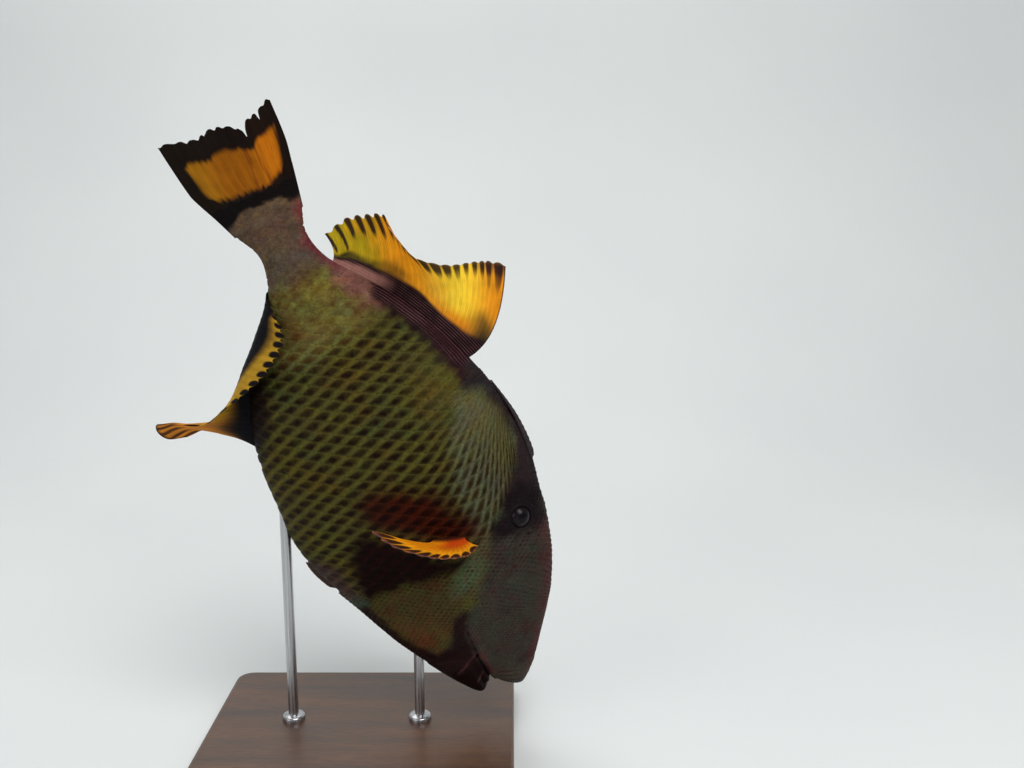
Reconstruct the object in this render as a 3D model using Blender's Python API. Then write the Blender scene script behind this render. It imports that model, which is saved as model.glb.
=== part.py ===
"""Titan triggerfish, life size, nose down on a plain display stand.

Fish coordinates are (s, h, y): s runs from the mouth back along the body's axis, h up towards
the back and y towards the fish's left side. place() turns them into the model's frame, where
the fish hangs head down and its right side faces -Y.
"""

import math

import bpy
import bmesh
from mathutils import Matrix, Vector

# Pose: the mouth's place in the frame, and how far the body's axis leans off the vertical
MOUTH_X = 0.1331
MOUTH_Z = 0.0566
AXIS_LEAN = math.radians(24.34)

GAP = 0.0003

# Body: heights of the back and belly, half width and widest level, each as (s, value)
BODY_FRONT = 0.012
BODY_REAR = 0.500
TOP = (
    (0.012, 0.0465), (0.031, 0.0610), (0.068, 0.0880), (0.100, 0.1045), (0.134, 0.1155),
    (0.170, 0.1230), (0.206, 0.1290), (0.240, 0.1290), (0.272, 0.1235), (0.300, 0.1165),
    (0.350, 0.0985), (0.392, 0.0760), (0.425, 0.0510), (0.448, 0.0330), (0.475, 0.0265),
    (0.500, 0.0345),
)
BOTTOM = (
    (0.012, -0.0275), (0.046, -0.0505), (0.083, -0.0710), (0.115, -0.0850), (0.150, -0.0985),
    (0.184, -0.1120), (0.216, -0.1180), (0.250, -0.1165), (0.300, -0.1120), (0.340, -0.1000),
    (0.382, -0.0790), (0.407, -0.0570), (0.428, -0.0385), (0.450, -0.0270), (0.473, -0.0240),
    (0.500, -0.0370),
)
HALF_WIDTH = (
    (0.012, 0.0190), (0.036, 0.0265), (0.080, 0.0350), (0.130, 0.0420), (0.180, 0.0475),
    (0.230, 0.0490), (0.290, 0.0450), (0.350, 0.0350), (0.400, 0.0250), (0.440, 0.0175),
    (0.470, 0.0130), (0.500, 0.0070),
)
WIDEST_LEVEL = ((0.012, 0.016), (0.080, 0.008), (0.200, 0.004), (0.500, 0.000))
EDGE_POWER = ((0.012, 0.50), (0.120, 0.56), (0.230, 0.62), (0.400, 0.60), (0.500, 0.50))
BODY_RINGS = 42
RING_POINTS = 36

# Cuts between head, torso and tail stem, as (s, h) at the back and at the belly
HEAD_CUT = ((0.188, 0.126), (0.100, -0.100))
TAIL_CUT = ((0.448, 0.040), (0.448, -0.040))

# Mouth: cleft from the lips to its corner, and the crease behind the lower jaw
MOUTH_CORNER = (0.046, 0.0005)
CREASE_END = (0.033, -0.035)
CUTTER_REACH = 0.080
UPPER_LIP_TIP = (-0.0070, 0.0245)
LOWER_JAW_TIP = (-0.0003, -0.0160)
LOWER_JAW_ROOT = 0.050
LOWER_JAW_TOP = -0.0006
LOWER_JAW_HALF_WIDTH = 0.026
LIP_FOLD_DEPTH = 0.0009
LIP_FOLDS = 2.5
UPPER_LIP_LEVEL = 0.018
UPPER_LIP_FULLNESS = 1.0
LOWER_JAW_LEVEL = -0.011
LOWER_JAW_FULLNESS = 0.62
LIP_POINTS = 20
LIP_RINGS = 9

# Eyes, the skin rim round them, the groove in front, nostrils and gill slit
EYE_AT = (0.155, 0.096)
EYE_RADIUS = 0.0120
EYE_SINK = 0.0075
RIM_THICKNESS = 0.0016
RIM_STEPS = 18
RIM_SIDES = 6
GROOVE = ((0.141, 0.087), (0.106, 0.063))
GROOVE_WIDTH = 0.0050
GROOVE_DEPTH = 0.0022
NOSTRILS = ((0.1365, 0.0955), (0.1310, 0.0925))
NOSTRIL_RADIUS = 0.0013
NOSTRIL_DEPTH = 0.0025
GILL_SLIT = ((0.1360, 0.012), (0.1500, 0.050))
GILL_SLIT_WIDTH = 0.0014
GILL_SLIT_DEPTH = 0.0040

# Folded first dorsal fin: three spines in a groove along the back, as (root s, tip s, radius)
SPINES = ((0.197, 0.281, 0.0040), (0.205, 0.252, 0.0022), (0.238, 0.268, 0.0017))
SPINE_SIDE_STEP = 0.0022
SPINE_TIP_RADIUS = 0.0008
SPINE_RISE = 0.0009
SPINE_GROOVE = (0.192, 0.286)
SPINE_GROOVE_WIDTH = 0.0120
SPINE_GROOVE_DEPTH = 0.0050

# Fins: thickness of membrane, rays and fleshy root, as half thicknesses
ROOT_SINK = 0.003
MEMBRANE_HALF = 0.00028
RAY_HALF = 0.00085
MARGIN_HALF = 0.00025
RAY_SHARE = 0.24
SCALLOP = 0.035
FIN_ROWS = (0.0, 0.10, 0.25, 0.45, 0.65, 0.85, 1.0)

DORSAL_RAYS = 25
DORSAL_BASE = (0.309, 0.440)
DORSAL_ROOT_BIAS = 0.55
DORSAL_TIPS = (
    (0.00, (0.3735, 0.179, 0.000)), (0.10, (0.3820, 0.167, 0.000)), (0.22, (0.3870, 0.155, 0.000)),
    (0.38, (0.3960, 0.131, -0.018)), (0.50, (0.4130, 0.110, -0.032)), (0.60, (0.4320, 0.103, -0.036)),
    (0.70, (0.4500, 0.099, -0.029)), (0.75, (0.4590, 0.099, -0.022)), (0.85, (0.4670, 0.081, -0.009)),
    (0.92, (0.4710, 0.064, -0.002)), (1.00, (0.4660, 0.040, 0.003)),
)
DORSAL_LIFT = ((0.00, (0.02, 0.40, 0.00)), (0.50, (0.25, 0.40, 0.00)), (1.00, (0.30, 0.35, 0.00)))
ANAL_RAYS = 23
ANAL_BASE = (0.313, 0.440)
ANAL_TIPS = (
    (0.00, (0.3490, -0.163, 0.000)), (0.04, (0.3550, -0.179, -0.002)), (0.08, (0.3665, -0.184, -0.005)),
    (0.12, (0.3725, -0.179, -0.009)), (0.17, (0.3660, -0.162, -0.014)), (0.25, (0.3550, -0.136, -0.021)),
    (0.34, (0.3600, -0.110, -0.030)), (0.44, (0.3650, -0.085, -0.040)), (0.62, (0.3770, -0.048, -0.046)),
    (0.80, (0.3970, -0.026, -0.039)), (1.00, (0.4270, -0.030, -0.017)),
)
ANAL_LIFT = (
    (0.00, (0.47, 0.33, 0.00)), (0.30, (0.24, 0.62, -0.40)), (0.65, (0.06, 0.36, -0.30)),
    (1.00, (0.10, 0.30, -0.25)),
)
# The anal fin's front rays draw together into a waist behind their fanned tips
ANAL_WAIST = 0.0045
WAIST_AT = 0.72
WAIST_LENGTH = 0.16
WAIST_END = 0.14
SHEATH_HALF = 0.0036
SHEATH_SHARE = 0.30

CAUDAL_RAYS = 12
CAUDAL_UPPER_EDGE = ((0.500, 0.0345), (0.516, 0.0380), (0.537, 0.0425), (0.558, 0.0465), (0.596, 0.0485))
CAUDAL_LOWER_EDGE = ((0.500, -0.0370), (0.518, -0.0440), (0.533, -0.0505), (0.547, -0.0555), (0.598, -0.0620))
CAUDAL_MARGIN = (
    (0.00, 0.598), (0.20, 0.592), (0.31, 0.589), (0.45, 0.591), (0.56, 0.588), (0.65, 0.583),
    (0.69, 0.578), (0.75, 0.585), (0.86, 0.588), (1.00, 0.595),
)
CAUDAL_ROOT_HALF = 0.0055

PECTORAL_RAYS = 14
PECTORAL_BASE = ((0.163, 0.042), (0.172, 0.017))
PECTORAL_TIPS = (
    (0.00, (0.1600, 0.057, 0.072)), (0.20, (0.1620, 0.047, 0.090)), (0.40, (0.1700, 0.030, 0.099)),
    (0.60, (0.1820, 0.013, 0.101)), (0.80, (0.1980, -0.009, 0.092)), (1.00, (0.2150, -0.026, 0.072)),
)
PECTORAL_ROOT_HALF = 0.0034
PECTORAL_SPREAD = 0.40

# Pelvic spine and the ribbed skin flap behind it
PELVIC_SPINE = ((0.119, -0.0830), (0.150, -0.0995))
PELVIC_SPINE_RADIUS = 0.0040
PELVIC_SPINE_KNOBS = 4
FLAP_RAYS = 7
FLAP_BASE = (0.153, 0.186)
FLAP_HEIGHT = 0.0075
FLAP_SWEEP = 0.006

# Stand: a flat base and two upright rods
BASE_SIZE = (0.300, 0.200, 0.018)
BASE_CORNER = 0.016
BASE_EDGE = 0.003
ROD_RADIUS = 0.005
ROD_COLLAR_RADIUS = 0.011
ROD_COLLAR_HEIGHT = 0.006
ROD_REACH = 0.3066
ROD_PLACES = (("stand_rod_front", 0.056), ("stand_rod_back", -0.070))

# Colours: red, green, blue, then roughness
COLOURS = {
    "head": (0.13, 0.10, 0.07, 0.55),
    "torso": (0.15, 0.13, 0.05, 0.55),
    "tail_stem": (0.26, 0.17, 0.14, 0.55),
    "upper_lip": (0.16, 0.11, 0.11, 0.50),
    "lower_jaw": (0.05, 0.03, 0.03, 0.50),
    "eye": (0.02, 0.02, 0.02, 0.10),
    "spine": (0.05, 0.04, 0.04, 0.60),
    "fin": (0.85, 0.40, 0.04, 0.45),
    "pelvic": (0.12, 0.10, 0.08, 0.60),
    "base": (0.10, 0.06, 0.04, 0.45),
    "rod": (0.55, 0.55, 0.56, 0.30),
}


def curve(points, x):
    """Smooth curve through (x, value) points, where a value is a number or a tuple."""
    last = len(points) - 1
    i = 0
    while i < last - 1 and x > points[i + 1][0]:
        i += 1
    before, start, end, after = (points[min(max(k, 0), last)] for k in (i - 1, i, i + 1, i + 2))
    span = end[0] - start[0]
    u = min(max((x - start[0]) / span, 0.0), 1.0)

    def blend(p, a, b, q):
        slope_a = (b - p) / (end[0] - before[0]) * span
        slope_b = (q - a) / (after[0] - start[0]) * span
        return (
            a * (2 * u**3 - 3 * u**2 + 1) + slope_a * (u**3 - 2 * u**2 + u)
            + b * (3 * u**2 - 2 * u**3) + slope_b * (u**3 - u**2)
        )

    if isinstance(start[1], tuple):
        return tuple(blend(*values) for values in zip(before[1], start[1], end[1], after[1]))
    return blend(before[1], start[1], end[1], after[1])


def mix(a, b, share):
    return a + (b - a) * share


def place(s, h, y):
    """Frame position of a point given in fish coordinates."""
    sin_lean = math.sin(AXIS_LEAN)
    cos_lean = math.cos(AXIS_LEAN)
    return Vector((MOUTH_X - sin_lean * s + cos_lean * h, y, MOUTH_Z + cos_lean * s + sin_lean * h))


def body_point(s, angle):
    """Fish coordinates of the body's surface; angle 0 is its left side, 90 degrees its back."""
    level = curve(WIDEST_LEVEL, s)
    sine = math.sin(angle)
    cosine = math.cos(angle)
    edge = curve(TOP, s) if sine > 0 else curve(BOTTOM, s)
    width = curve(HALF_WIDTH, s) * abs(cosine) ** (2 * curve(EDGE_POWER, s))
    return s, level + (edge - level) * abs(sine), math.copysign(width, cosine)


def flank_point(s, h):
    """Fish coordinates of the body's left surface at a given height."""
    level = curve(WIDEST_LEVEL, s)
    edge = curve(TOP, s) if h > level else curve(BOTTOM, s)
    share = min(abs((h - level) / (edge - level)), 1.0)
    return s, h, curve(HALF_WIDTH, s) * (1 - share**2) ** curve(EDGE_POWER, s)


def flank_normal(s, h):
    """Outward direction of the body's left surface, in the frame."""
    step = 0.001
    here = place(*flank_point(s, h))
    along = place(*flank_point(s + step, h)) - here
    up = place(*flank_point(s, h + step)) - here
    normal = along.cross(up).normalized()
    return normal if normal.y > 0 else -normal


def material(name, colour_name):
    made = bpy.data.materials.new(name)
    made.use_nodes = True
    red, green, blue, roughness = COLOURS[colour_name]
    shader = made.node_tree.nodes["Principled BSDF"]
    shader.inputs["Base Color"].default_value = (red, green, blue, 1.0)
    shader.inputs["Roughness"].default_value = roughness
    shader.inputs["Metallic"].default_value = 1.0 if colour_name == "rod" else 0.0
    made.diffuse_color = (red, green, blue, 1.0)
    return made


def new_object(name, mesh_data, collection, colour_name=None):
    """Object from a bmesh; its faces are turned outwards and shaded smooth up to 40 degrees."""
    bmesh.ops.recalc_face_normals(mesh_data, faces=mesh_data.faces[:])
    if mesh_data.calc_volume(signed=True) < 0:
        bmesh.ops.reverse_faces(mesh_data, faces=mesh_data.faces[:])
    mesh = bpy.data.meshes.new(name)
    mesh_data.to_mesh(mesh)
    mesh_data.free()
    mesh.shade_smooth()
    mesh.set_sharp_from_angle(angle=math.radians(40))
    made = bpy.data.objects.new(name, mesh)
    collection.objects.link(made)
    if colour_name:
        mesh.materials.append(material(name, colour_name))
    else:
        made.hide_render = True
        made.display_type = "WIRE"
    return made


def evaluated_mesh(target):
    bpy.context.view_layer.update()
    evaluated = target.evaluated_get(bpy.context.evaluated_depsgraph_get())
    return bpy.data.meshes.new_from_object(evaluated)


def keep_largest(target):
    """Drops every closed surface of a mesh but its largest."""
    shape = bmesh.new()
    shape.from_mesh(target.data)
    unseen = set(shape.verts)
    pieces = []
    while unseen:
        reached = [unseen.pop()]
        for vertex in reached:
            for edge in vertex.link_edges:
                other = edge.other_vert(vertex)
                if other in unseen:
                    unseen.remove(other)
                    reached.append(other)
        pieces.append(reached)
    pieces.sort(key=len)
    for scrap in pieces[:-1]:
        bmesh.ops.delete(shape, geom=scrap, context="VERTS")
    shape.to_mesh(target.data)
    shape.free()


def combine(target, operation, others):
    """One Boolean of target with all the others, which are then removed."""
    group = bpy.data.collections.new("operands")
    bpy.context.scene.collection.children.link(group)
    for other in others:
        group.objects.link(other)
    boolean = target.modifiers.new("combine", "BOOLEAN")
    boolean.operation = operation
    boolean.operand_type = "COLLECTION"
    boolean.collection = group
    boolean.solver = "EXACT"
    mesh = evaluated_mesh(target)
    if not mesh.polygons:
        boolean.solver = "MANIFOLD"
        mesh = evaluated_mesh(target)
    target.modifiers.clear()
    target.data = mesh
    for other in others:
        bpy.data.objects.remove(other)
    bpy.data.collections.remove(group)
    keep_largest(target)


def loft(rings, tip=None):
    """Closed bmesh through equal rings of points, its last end drawn to a tip if one is given."""
    shape = bmesh.new()
    rows = [[shape.verts.new(point) for point in ring] for ring in rings]
    count = len(rows[0])
    for row, following in zip(rows, rows[1:]):
        for i in range(count):
            j = (i + 1) % count
            shape.faces.new((row[i], row[j], following[j], following[i]))
    shape.faces.new(rows[0])
    if tip is None:
        shape.faces.new(rows[-1])
    else:
        end = shape.verts.new(tip)
        for i in range(count):
            shape.faces.new((rows[-1][i], rows[-1][(i + 1) % count], end))
    return shape


def whole_body(grow=0.0):
    """The body from lips to tail fin in one closed loft, grown outwards if asked."""
    rings = []
    for k in range(BODY_RINGS):
        s = mix(BODY_FRONT, BODY_REAR, k / (BODY_RINGS - 1))
        angles = [math.tau * i / RING_POINTS for i in range(RING_POINTS)]
        rings.append([place(*body_point(s, angle)) for angle in angles])
    shape = loft(rings)
    if grow:
        bmesh.ops.recalc_face_normals(shape, faces=shape.faces[:])
        shape.normal_update()
        moves = [(vertex, vertex.normal * grow) for vertex in shape.verts]
        for vertex, move in moves:
            vertex.co += move
    return shape


def keep_side(shape, cut, towards_tail):
    """Cuts a body bmesh along a cut, keeps one side of it and closes it with a flat face."""
    upper = place(cut[0][0], cut[0][1], 0.0)
    lower = place(cut[1][0], cut[1][1], 0.0)
    normal = (upper - lower).cross(Vector((0, 1, 0))).normalized()
    tailward = place(1, 0, 0) - place(0, 0, 0)
    if (normal.dot(tailward) > 0) == towards_tail:
        normal = -normal
    trimmed = bmesh.ops.bisect_plane(
        shape, geom=shape.verts[:] + shape.edges[:] + shape.faces[:],
        plane_co=upper - normal * GAP / 2, plane_no=normal, clear_outer=True,
    )
    rim = [item for item in trimmed["geom_cut"] if isinstance(item, bmesh.types.BMEdge)]
    bmesh.ops.contextual_create(shape, geom=rim)


def oriented(position, direction, side):
    """Matrix at a position whose Z axis is the direction and whose X axis lies close to side."""
    z_axis = direction.normalized()
    y_axis = z_axis.cross(side).normalized()
    x_axis = y_axis.cross(z_axis)
    turn = Matrix((x_axis, y_axis, z_axis)).transposed().to_4x4()
    return Matrix.Translation(position) @ turn


def box_along(start, end, width, depth, lift=0.0):
    """Box over the surface from one (s, h) to another, sunk by its depth, on the left side."""
    first = place(*flank_point(*start))
    last = place(*flank_point(*end))
    middle = (mix(start[0], end[0], 0.5), mix(start[1], end[1], 0.5))
    outward = flank_normal(*middle)
    centre = place(*flank_point(*middle)) + outward * lift
    shape = bmesh.new()
    bmesh.ops.create_cube(shape, size=1.0)
    bmesh.ops.scale(shape, vec=((last - first).length, width, 2 * depth), verts=shape.verts[:])
    bmesh.ops.transform(shape, matrix=oriented(centre, outward, last - first), verts=shape.verts[:])
    return shape


def mirror_to_right(shape):
    bmesh.ops.scale(shape, vec=(1, -1, 1), verts=shape.verts[:])
    bmesh.ops.reverse_faces(shape, faces=shape.faces[:])
    return shape


def eye_centre():
    outward = flank_normal(*EYE_AT)
    return place(*flank_point(*EYE_AT)) - outward * EYE_SINK, outward


def ball(radius, centre, outward, segments, rings):
    """Sphere whose poles lie along a direction."""
    shape = bmesh.new()
    bmesh.ops.create_uvsphere(shape, u_segments=segments, v_segments=rings, radius=radius)
    bmesh.ops.transform(shape, matrix=oriented(centre, outward, Vector((1, 0, 0))), verts=shape.verts[:])
    return shape


def ring_round_eye():
    """The low rim of skin round the left eye: a turned ring lying on the flank."""
    centre, outward = eye_centre()
    mouth_radius = math.sqrt(EYE_RADIUS**2 - EYE_SINK**2) + RIM_THICKNESS
    matrix = oriented(centre + outward * EYE_SINK, outward, Vector((1, 0, 0)))
    shape = bmesh.new()
    rows = []
    for i in range(RIM_STEPS):
        around = math.tau * i / RIM_STEPS
        row = []
        for j in range(RIM_SIDES):
            turn = math.tau * j / RIM_SIDES
            radius = mouth_radius + RIM_THICKNESS * math.cos(turn)
            level = RIM_THICKNESS * math.sin(turn)
            point = Vector((radius * math.cos(around), radius * math.sin(around), level))
            row.append(shape.verts.new(matrix @ point))
        rows.append(row)
    for i in range(RIM_STEPS):
        for j in range(RIM_SIDES):
            k = (i + 1) % RIM_STEPS
            m = (j + 1) % RIM_SIDES
            shape.faces.new((rows[i][j], rows[k][j], rows[k][m], rows[i][m]))
    return shape


def nostril(place_on_flank):
    centre = place(*flank_point(*place_on_flank))
    outward = flank_normal(*place_on_flank)
    shape = bmesh.new()
    bmesh.ops.create_cone(
        shape, cap_ends=True, segments=8, radius1=NOSTRIL_RADIUS, radius2=NOSTRIL_RADIUS,
        depth=2 * NOSTRIL_DEPTH,
    )
    bmesh.ops.transform(shape, matrix=oriented(centre, outward, Vector((1, 0, 0))), verts=shape.verts[:])
    return shape


def jaw_wedge():
    """The space under the cleft and before the crease, which the lower jaw takes."""
    run = (MOUTH_CORNER[0] - CREASE_END[0]) / (MOUTH_CORNER[1] - CREASE_END[1])
    foot = MOUTH_CORNER[0] - run * (MOUTH_CORNER[1] + CUTTER_REACH)
    outline = (
        MOUTH_CORNER, (-CUTTER_REACH, MOUTH_CORNER[1]), (-CUTTER_REACH, -CUTTER_REACH), (foot, -CUTTER_REACH),
    )
    return loft([[place(s, h, y) for s, h in outline] for y in (-CUTTER_REACH, CUTTER_REACH)])


def on_both_sides(name, make, collection):
    """Two helper objects from one builder: the left one and its mirror image."""
    return [
        new_object(name + "_left", make(), collection),
        new_object(name + "_right", mirror_to_right(make()), collection),
    ]


def make_head(parts, cutters):
    shape = whole_body()
    keep_side(shape, HEAD_CUT, towards_tail=False)
    head = new_object("head", shape, parts, "head")
    rims = on_both_sides("rim", ring_round_eye, cutters)
    combine(head, "UNION", rims)
    centre, outward = eye_centre()
    holes = [new_object("wedge", jaw_wedge(), cutters)]
    holes += on_both_sides("socket", lambda: ball(EYE_RADIUS + GAP, centre, outward, 18, 10), cutters)
    holes += on_both_sides("slit", lambda: box_along(*GILL_SLIT, GILL_SLIT_WIDTH, GILL_SLIT_DEPTH), cutters)
    holes += on_both_sides("groove", lambda: box_along(*GROOVE, GROOVE_WIDTH, GROOVE_DEPTH), cutters)
    for number, spot in enumerate(NOSTRILS):
        holes += on_both_sides(f"nostril_{number}", lambda spot=spot: nostril(spot), cutters)
    combine(head, "DIFFERENCE", holes)


def make_torso(parts, cutters):
    shape = whole_body()
    keep_side(shape, HEAD_CUT, towards_tail=True)
    keep_side(shape, TAIL_CUT, towards_tail=False)
    torso = new_object("torso", shape, parts, "torso")
    combine(torso, "DIFFERENCE", [new_object("spine_groove", spine_groove(), cutters)])


def make_tail_stem(parts):
    shape = whole_body()
    keep_side(shape, TAIL_CUT, towards_tail=True)
    new_object("tail_stem", shape, parts, "tail_stem")


def lip_ring(s, low, high, level, width, low_power):
    """Ring of points of a lip: round above its widest level and fuller below it."""
    ring = []
    for i in range(LIP_POINTS):
        angle = math.tau * i / LIP_POINTS
        sine = math.sin(angle)
        edge = high if sine > 0 else low
        power = 1.0 if sine > 0 else low_power
        y = math.copysign(width * abs(math.cos(angle)) ** power, math.cos(angle))
        ring.append(place(s, level + (edge - level) * abs(sine), y))
    return ring


def make_upper_lip(parts):
    """The overhanging upper lip, with shallow folds round its edge."""
    tip_s, tip_h = UPPER_LIP_TIP
    root = BODY_FRONT - GAP
    high_root = curve(TOP, root)
    low_root = MOUTH_CORNER[1] + GAP
    rings = []
    for k in range(LIP_RINGS):
        u = math.sin(0.5 * math.pi * k / LIP_RINGS)
        fold = LIP_FOLD_DEPTH * math.sin(math.tau * LIP_FOLDS * u) * u
        high = tip_h + (high_root - tip_h) * (1 - u) ** 0.85 + fold
        low = tip_h + (low_root - tip_h) * (1 - u**1.3) ** 0.75 - fold
        width = curve(HALF_WIDTH, root) * (1 - u**1.9) ** 0.58 + fold
        level = mix(UPPER_LIP_LEVEL, tip_h, u)
        rings.append(lip_ring(mix(root, tip_s, u), low, high, level, width, UPPER_LIP_FULLNESS))
    new_object("upper_lip", loft(rings, place(tip_s, tip_h, 0)), parts, "upper_lip")


def make_lower_jaw(parts):
    tip_s, tip_h = LOWER_JAW_TIP
    low_root = curve(BOTTOM, LOWER_JAW_ROOT)
    rings = []
    for k in range(LIP_RINGS + 2):
        u = math.sin(0.5 * math.pi * k / (LIP_RINGS + 2))
        high = tip_h + (LOWER_JAW_TOP - tip_h) * (1 - u**3.2) ** 0.6
        low = tip_h + (low_root - tip_h) * (1 - u) ** 0.90
        width = LOWER_JAW_HALF_WIDTH * (1 - u**2.4) ** 0.55
        level = mix(LOWER_JAW_LEVEL, tip_h, u)
        rings.append(lip_ring(mix(LOWER_JAW_ROOT, tip_s, u), high, low, level, width, LOWER_JAW_FULLNESS))
    shape = loft(rings, place(tip_s, tip_h, 0))
    step = GAP / 2 + 0.0002
    crease = ((MOUTH_CORNER[0] - step, MOUTH_CORNER[1]), (CREASE_END[0] - step, CREASE_END[1]))
    keep_side(shape, crease, towards_tail=False)
    new_object("lower_jaw", shape, parts, "lower_jaw")


def make_eyes(parts):
    centre, outward = eye_centre()
    new_object("eye_left", ball(EYE_RADIUS, centre, outward, 18, 10), parts, "eye")
    new_object("eye_right", mirror_to_right(ball(EYE_RADIUS, centre, outward, 18, 10)), parts, "eye")


def spine_groove():
    """Long shallow box along the ridge of the back, which the folded spines lie in."""
    rings = []
    for k in range(9):
        s = mix(*SPINE_GROOVE, k / 8)
        depth = SPINE_GROOVE_DEPTH * math.sin(math.pi * (k + 0.6) / 9.2)
        width = SPINE_GROOVE_WIDTH * mix(1.0, 0.45, k / 8)
        low = curve(TOP, s) - depth
        corners = ((low, -0.3), (low + 0.02, -0.5), (low + 0.02, 0.5), (low, 0.3))
        rings.append([place(s, h, width * across) for h, across in corners])
    return loft(rings)


def spine(root_s, tip_s, radius, side):
    """One folded spine, tapering back along the ridge of the back."""
    rings = []
    for k in range(7):
        u = k / 6
        s = mix(root_s, tip_s, u)
        size = mix(radius, SPINE_TIP_RADIUS, u**1.4)
        middle = curve(TOP, s) + SPINE_RISE - radius * (1 - u) * 0.6
        ring = []
        for i in range(8):
            angle = math.tau * i / 8
            ring.append(place(s, middle + size * math.sin(angle), side + size * math.cos(angle)))
        rings.append(ring)
    return loft(rings)


def make_spiny_dorsal(parts, cutters):
    made = []
    for number, (root_s, tip_s, radius) in enumerate(SPINES):
        side = (0, 1, -1)[number] * SPINE_SIDE_STEP
        made.append(new_object(f"spine_{number}", spine(root_s, tip_s, radius, side), cutters))
    fin = new_object("spiny_dorsal", spine(*SPINES[0], 0.0), parts, "spine")
    combine(fin, "UNION", made[1:])
    bpy.data.objects.remove(made[0])
    groove = new_object("groove_room", spine_groove(), cutters)
    room = new_object("room", whole_body(GAP), cutters)
    combine(room, "DIFFERENCE", [groove])
    combine(fin, "DIFFERENCE", [room])


def fin_columns(rays):
    """Places across a fin from 0 to 1, three to a ray, as (place, is this the ray's crest)."""
    pitch = 1.0 / (rays - 1 + 2 * RAY_SHARE)
    columns = []
    for ray in range(rays):
        middle = (ray + RAY_SHARE) * pitch
        columns.append((middle - RAY_SHARE * pitch, False))
        columns.append((middle, True))
        columns.append((middle + RAY_SHARE * pitch, False))
    return columns


def fin(point, rays, root_half, root_share, rows=FIN_ROWS):
    """Closed fin over point(t, u), t across it and u from root to margin, with raised rays."""
    columns = fin_columns(rays)
    shape = bmesh.new()
    sides = ([], [])
    step = 0.004
    for t, is_ray in columns:
        reach = 1.0 if is_ray else 1.0 - SCALLOP
        faces = ([], [])
        for u in rows:
            u_here = u * reach
            along_u = point(t, min(u_here + step, 1.0)) - point(t, max(u_here - step, 0.0))
            along_t = point(min(t + step, 1.0), u_here) - point(max(t - step, 0.0), u_here)
            normal = along_t.cross(along_u).normalized()
            fade = max(0.0, 1.0 - u / root_share) ** 1.5
            crest = RAY_HALF if is_ray else MEMBRANE_HALF
            half = mix(crest, MARGIN_HALF, u**2) + root_half(t) * fade
            centre = point(t, u_here)
            faces[0].append(shape.verts.new(centre + normal * half))
            faces[1].append(shape.verts.new(centre - normal * half))
        sides[0].append(faces[0])
        sides[1].append(faces[1])
    last_column = len(columns) - 1
    last_row = len(rows) - 1
    for i in range(last_column):
        for j in range(last_row):
            for grid in sides:
                shape.faces.new((grid[i][j], grid[i + 1][j], grid[i + 1][j + 1]))
                shape.faces.new((grid[i][j], grid[i + 1][j + 1], grid[i][j + 1]))
    front, back = sides
    for i in range(last_column):
        for j in (0, last_row):
            shape.faces.new((front[i][j], front[i + 1][j], back[i + 1][j]))
            shape.faces.new((front[i][j], back[i + 1][j], back[i][j]))
    for j in range(last_row):
        for i in (0, last_column):
            shape.faces.new((front[i][j], front[i][j + 1], back[i][j + 1]))
            shape.faces.new((front[i][j], back[i][j + 1], back[i][j]))
    return shape


def bowed(root, lift, tip, u):
    """Point on the bowed line of a ray: root, a point it leans towards, and tip."""
    return root * (1 - u) ** 2 + lift * 2 * u * (1 - u) + tip * u**2


def ridge_fin_point(edge, base, tips, lifts, sign, root_bias=0.0, waist=0.0):
    """Surface of a fin on the ridge of the back (sign 1) or the belly (sign -1).

    A root bias crowds the rays' roots towards the front, and a waist lifts the front rays tailwards.
    """
    tailward = place(1, 0, 0) - place(0, 0, 0)
    outward = place(0, sign, 0) - place(0, 0, 0)

    def point(t, u):
        s = mix(*base, mix(t, t * t, root_bias))
        root = place(s, curve(edge, s) - sign * ROOT_SINK, 0)
        tip = place(*curve(tips, t))
        back, out, side = curve(lifts, t)
        lift = root + (tailward * back + outward * out + Vector((0, side, 0))) * (tip - root).length
        pinch = waist * max(0.0, 1 - t / WAIST_END) * math.exp(-((u - WAIST_AT) / WAIST_LENGTH) ** 2)
        return bowed(root, lift, tip, u) + tailward * pinch

    return point


def trim_to_body(target, cutters):
    combine(target, "DIFFERENCE", [new_object("grown_body", whole_body(GAP), cutters)])


def sheath_half(t):
    """Half thickness of the scaly sheath at a fin's root, slimmer at both ends."""
    return SHEATH_HALF * math.sin(math.pi * mix(0.08, 0.92, t)) ** 0.4


def make_soft_dorsal(parts, cutters):
    point = ridge_fin_point(TOP, DORSAL_BASE, DORSAL_TIPS, DORSAL_LIFT, 1, root_bias=DORSAL_ROOT_BIAS)
    shape = fin(point, DORSAL_RAYS, sheath_half, SHEATH_SHARE)
    trim_to_body(new_object("soft_dorsal_fin", shape, parts, "fin"), cutters)


def make_anal_fin(parts, cutters):
    point = ridge_fin_point(BOTTOM, ANAL_BASE, ANAL_TIPS, ANAL_LIFT, -1, waist=ANAL_WAIST)
    shape = fin(point, ANAL_RAYS, sheath_half, SHEATH_SHARE)
    trim_to_body(new_object("anal_fin", shape, parts, "fin"), cutters)


def caudal_point(t, u):
    """Surface of the tail fin, from its lower edge (t 0) to its upper edge (t 1)."""
    root_s = BODY_REAR + GAP
    s = mix(root_s, curve(CAUDAL_MARGIN, t), u)
    return place(s, mix(curve(CAUDAL_LOWER_EDGE, s), curve(CAUDAL_UPPER_EDGE, s), t), 0)


def make_caudal_fin(parts):
    shape = fin(
        caudal_point, CAUDAL_RAYS,
        lambda t: CAUDAL_ROOT_HALF * math.sqrt(max(0.0, 1 - (2 * t - 1) ** 2)), 0.45,
    )
    new_object("caudal_fin", shape, parts, "fin")


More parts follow.
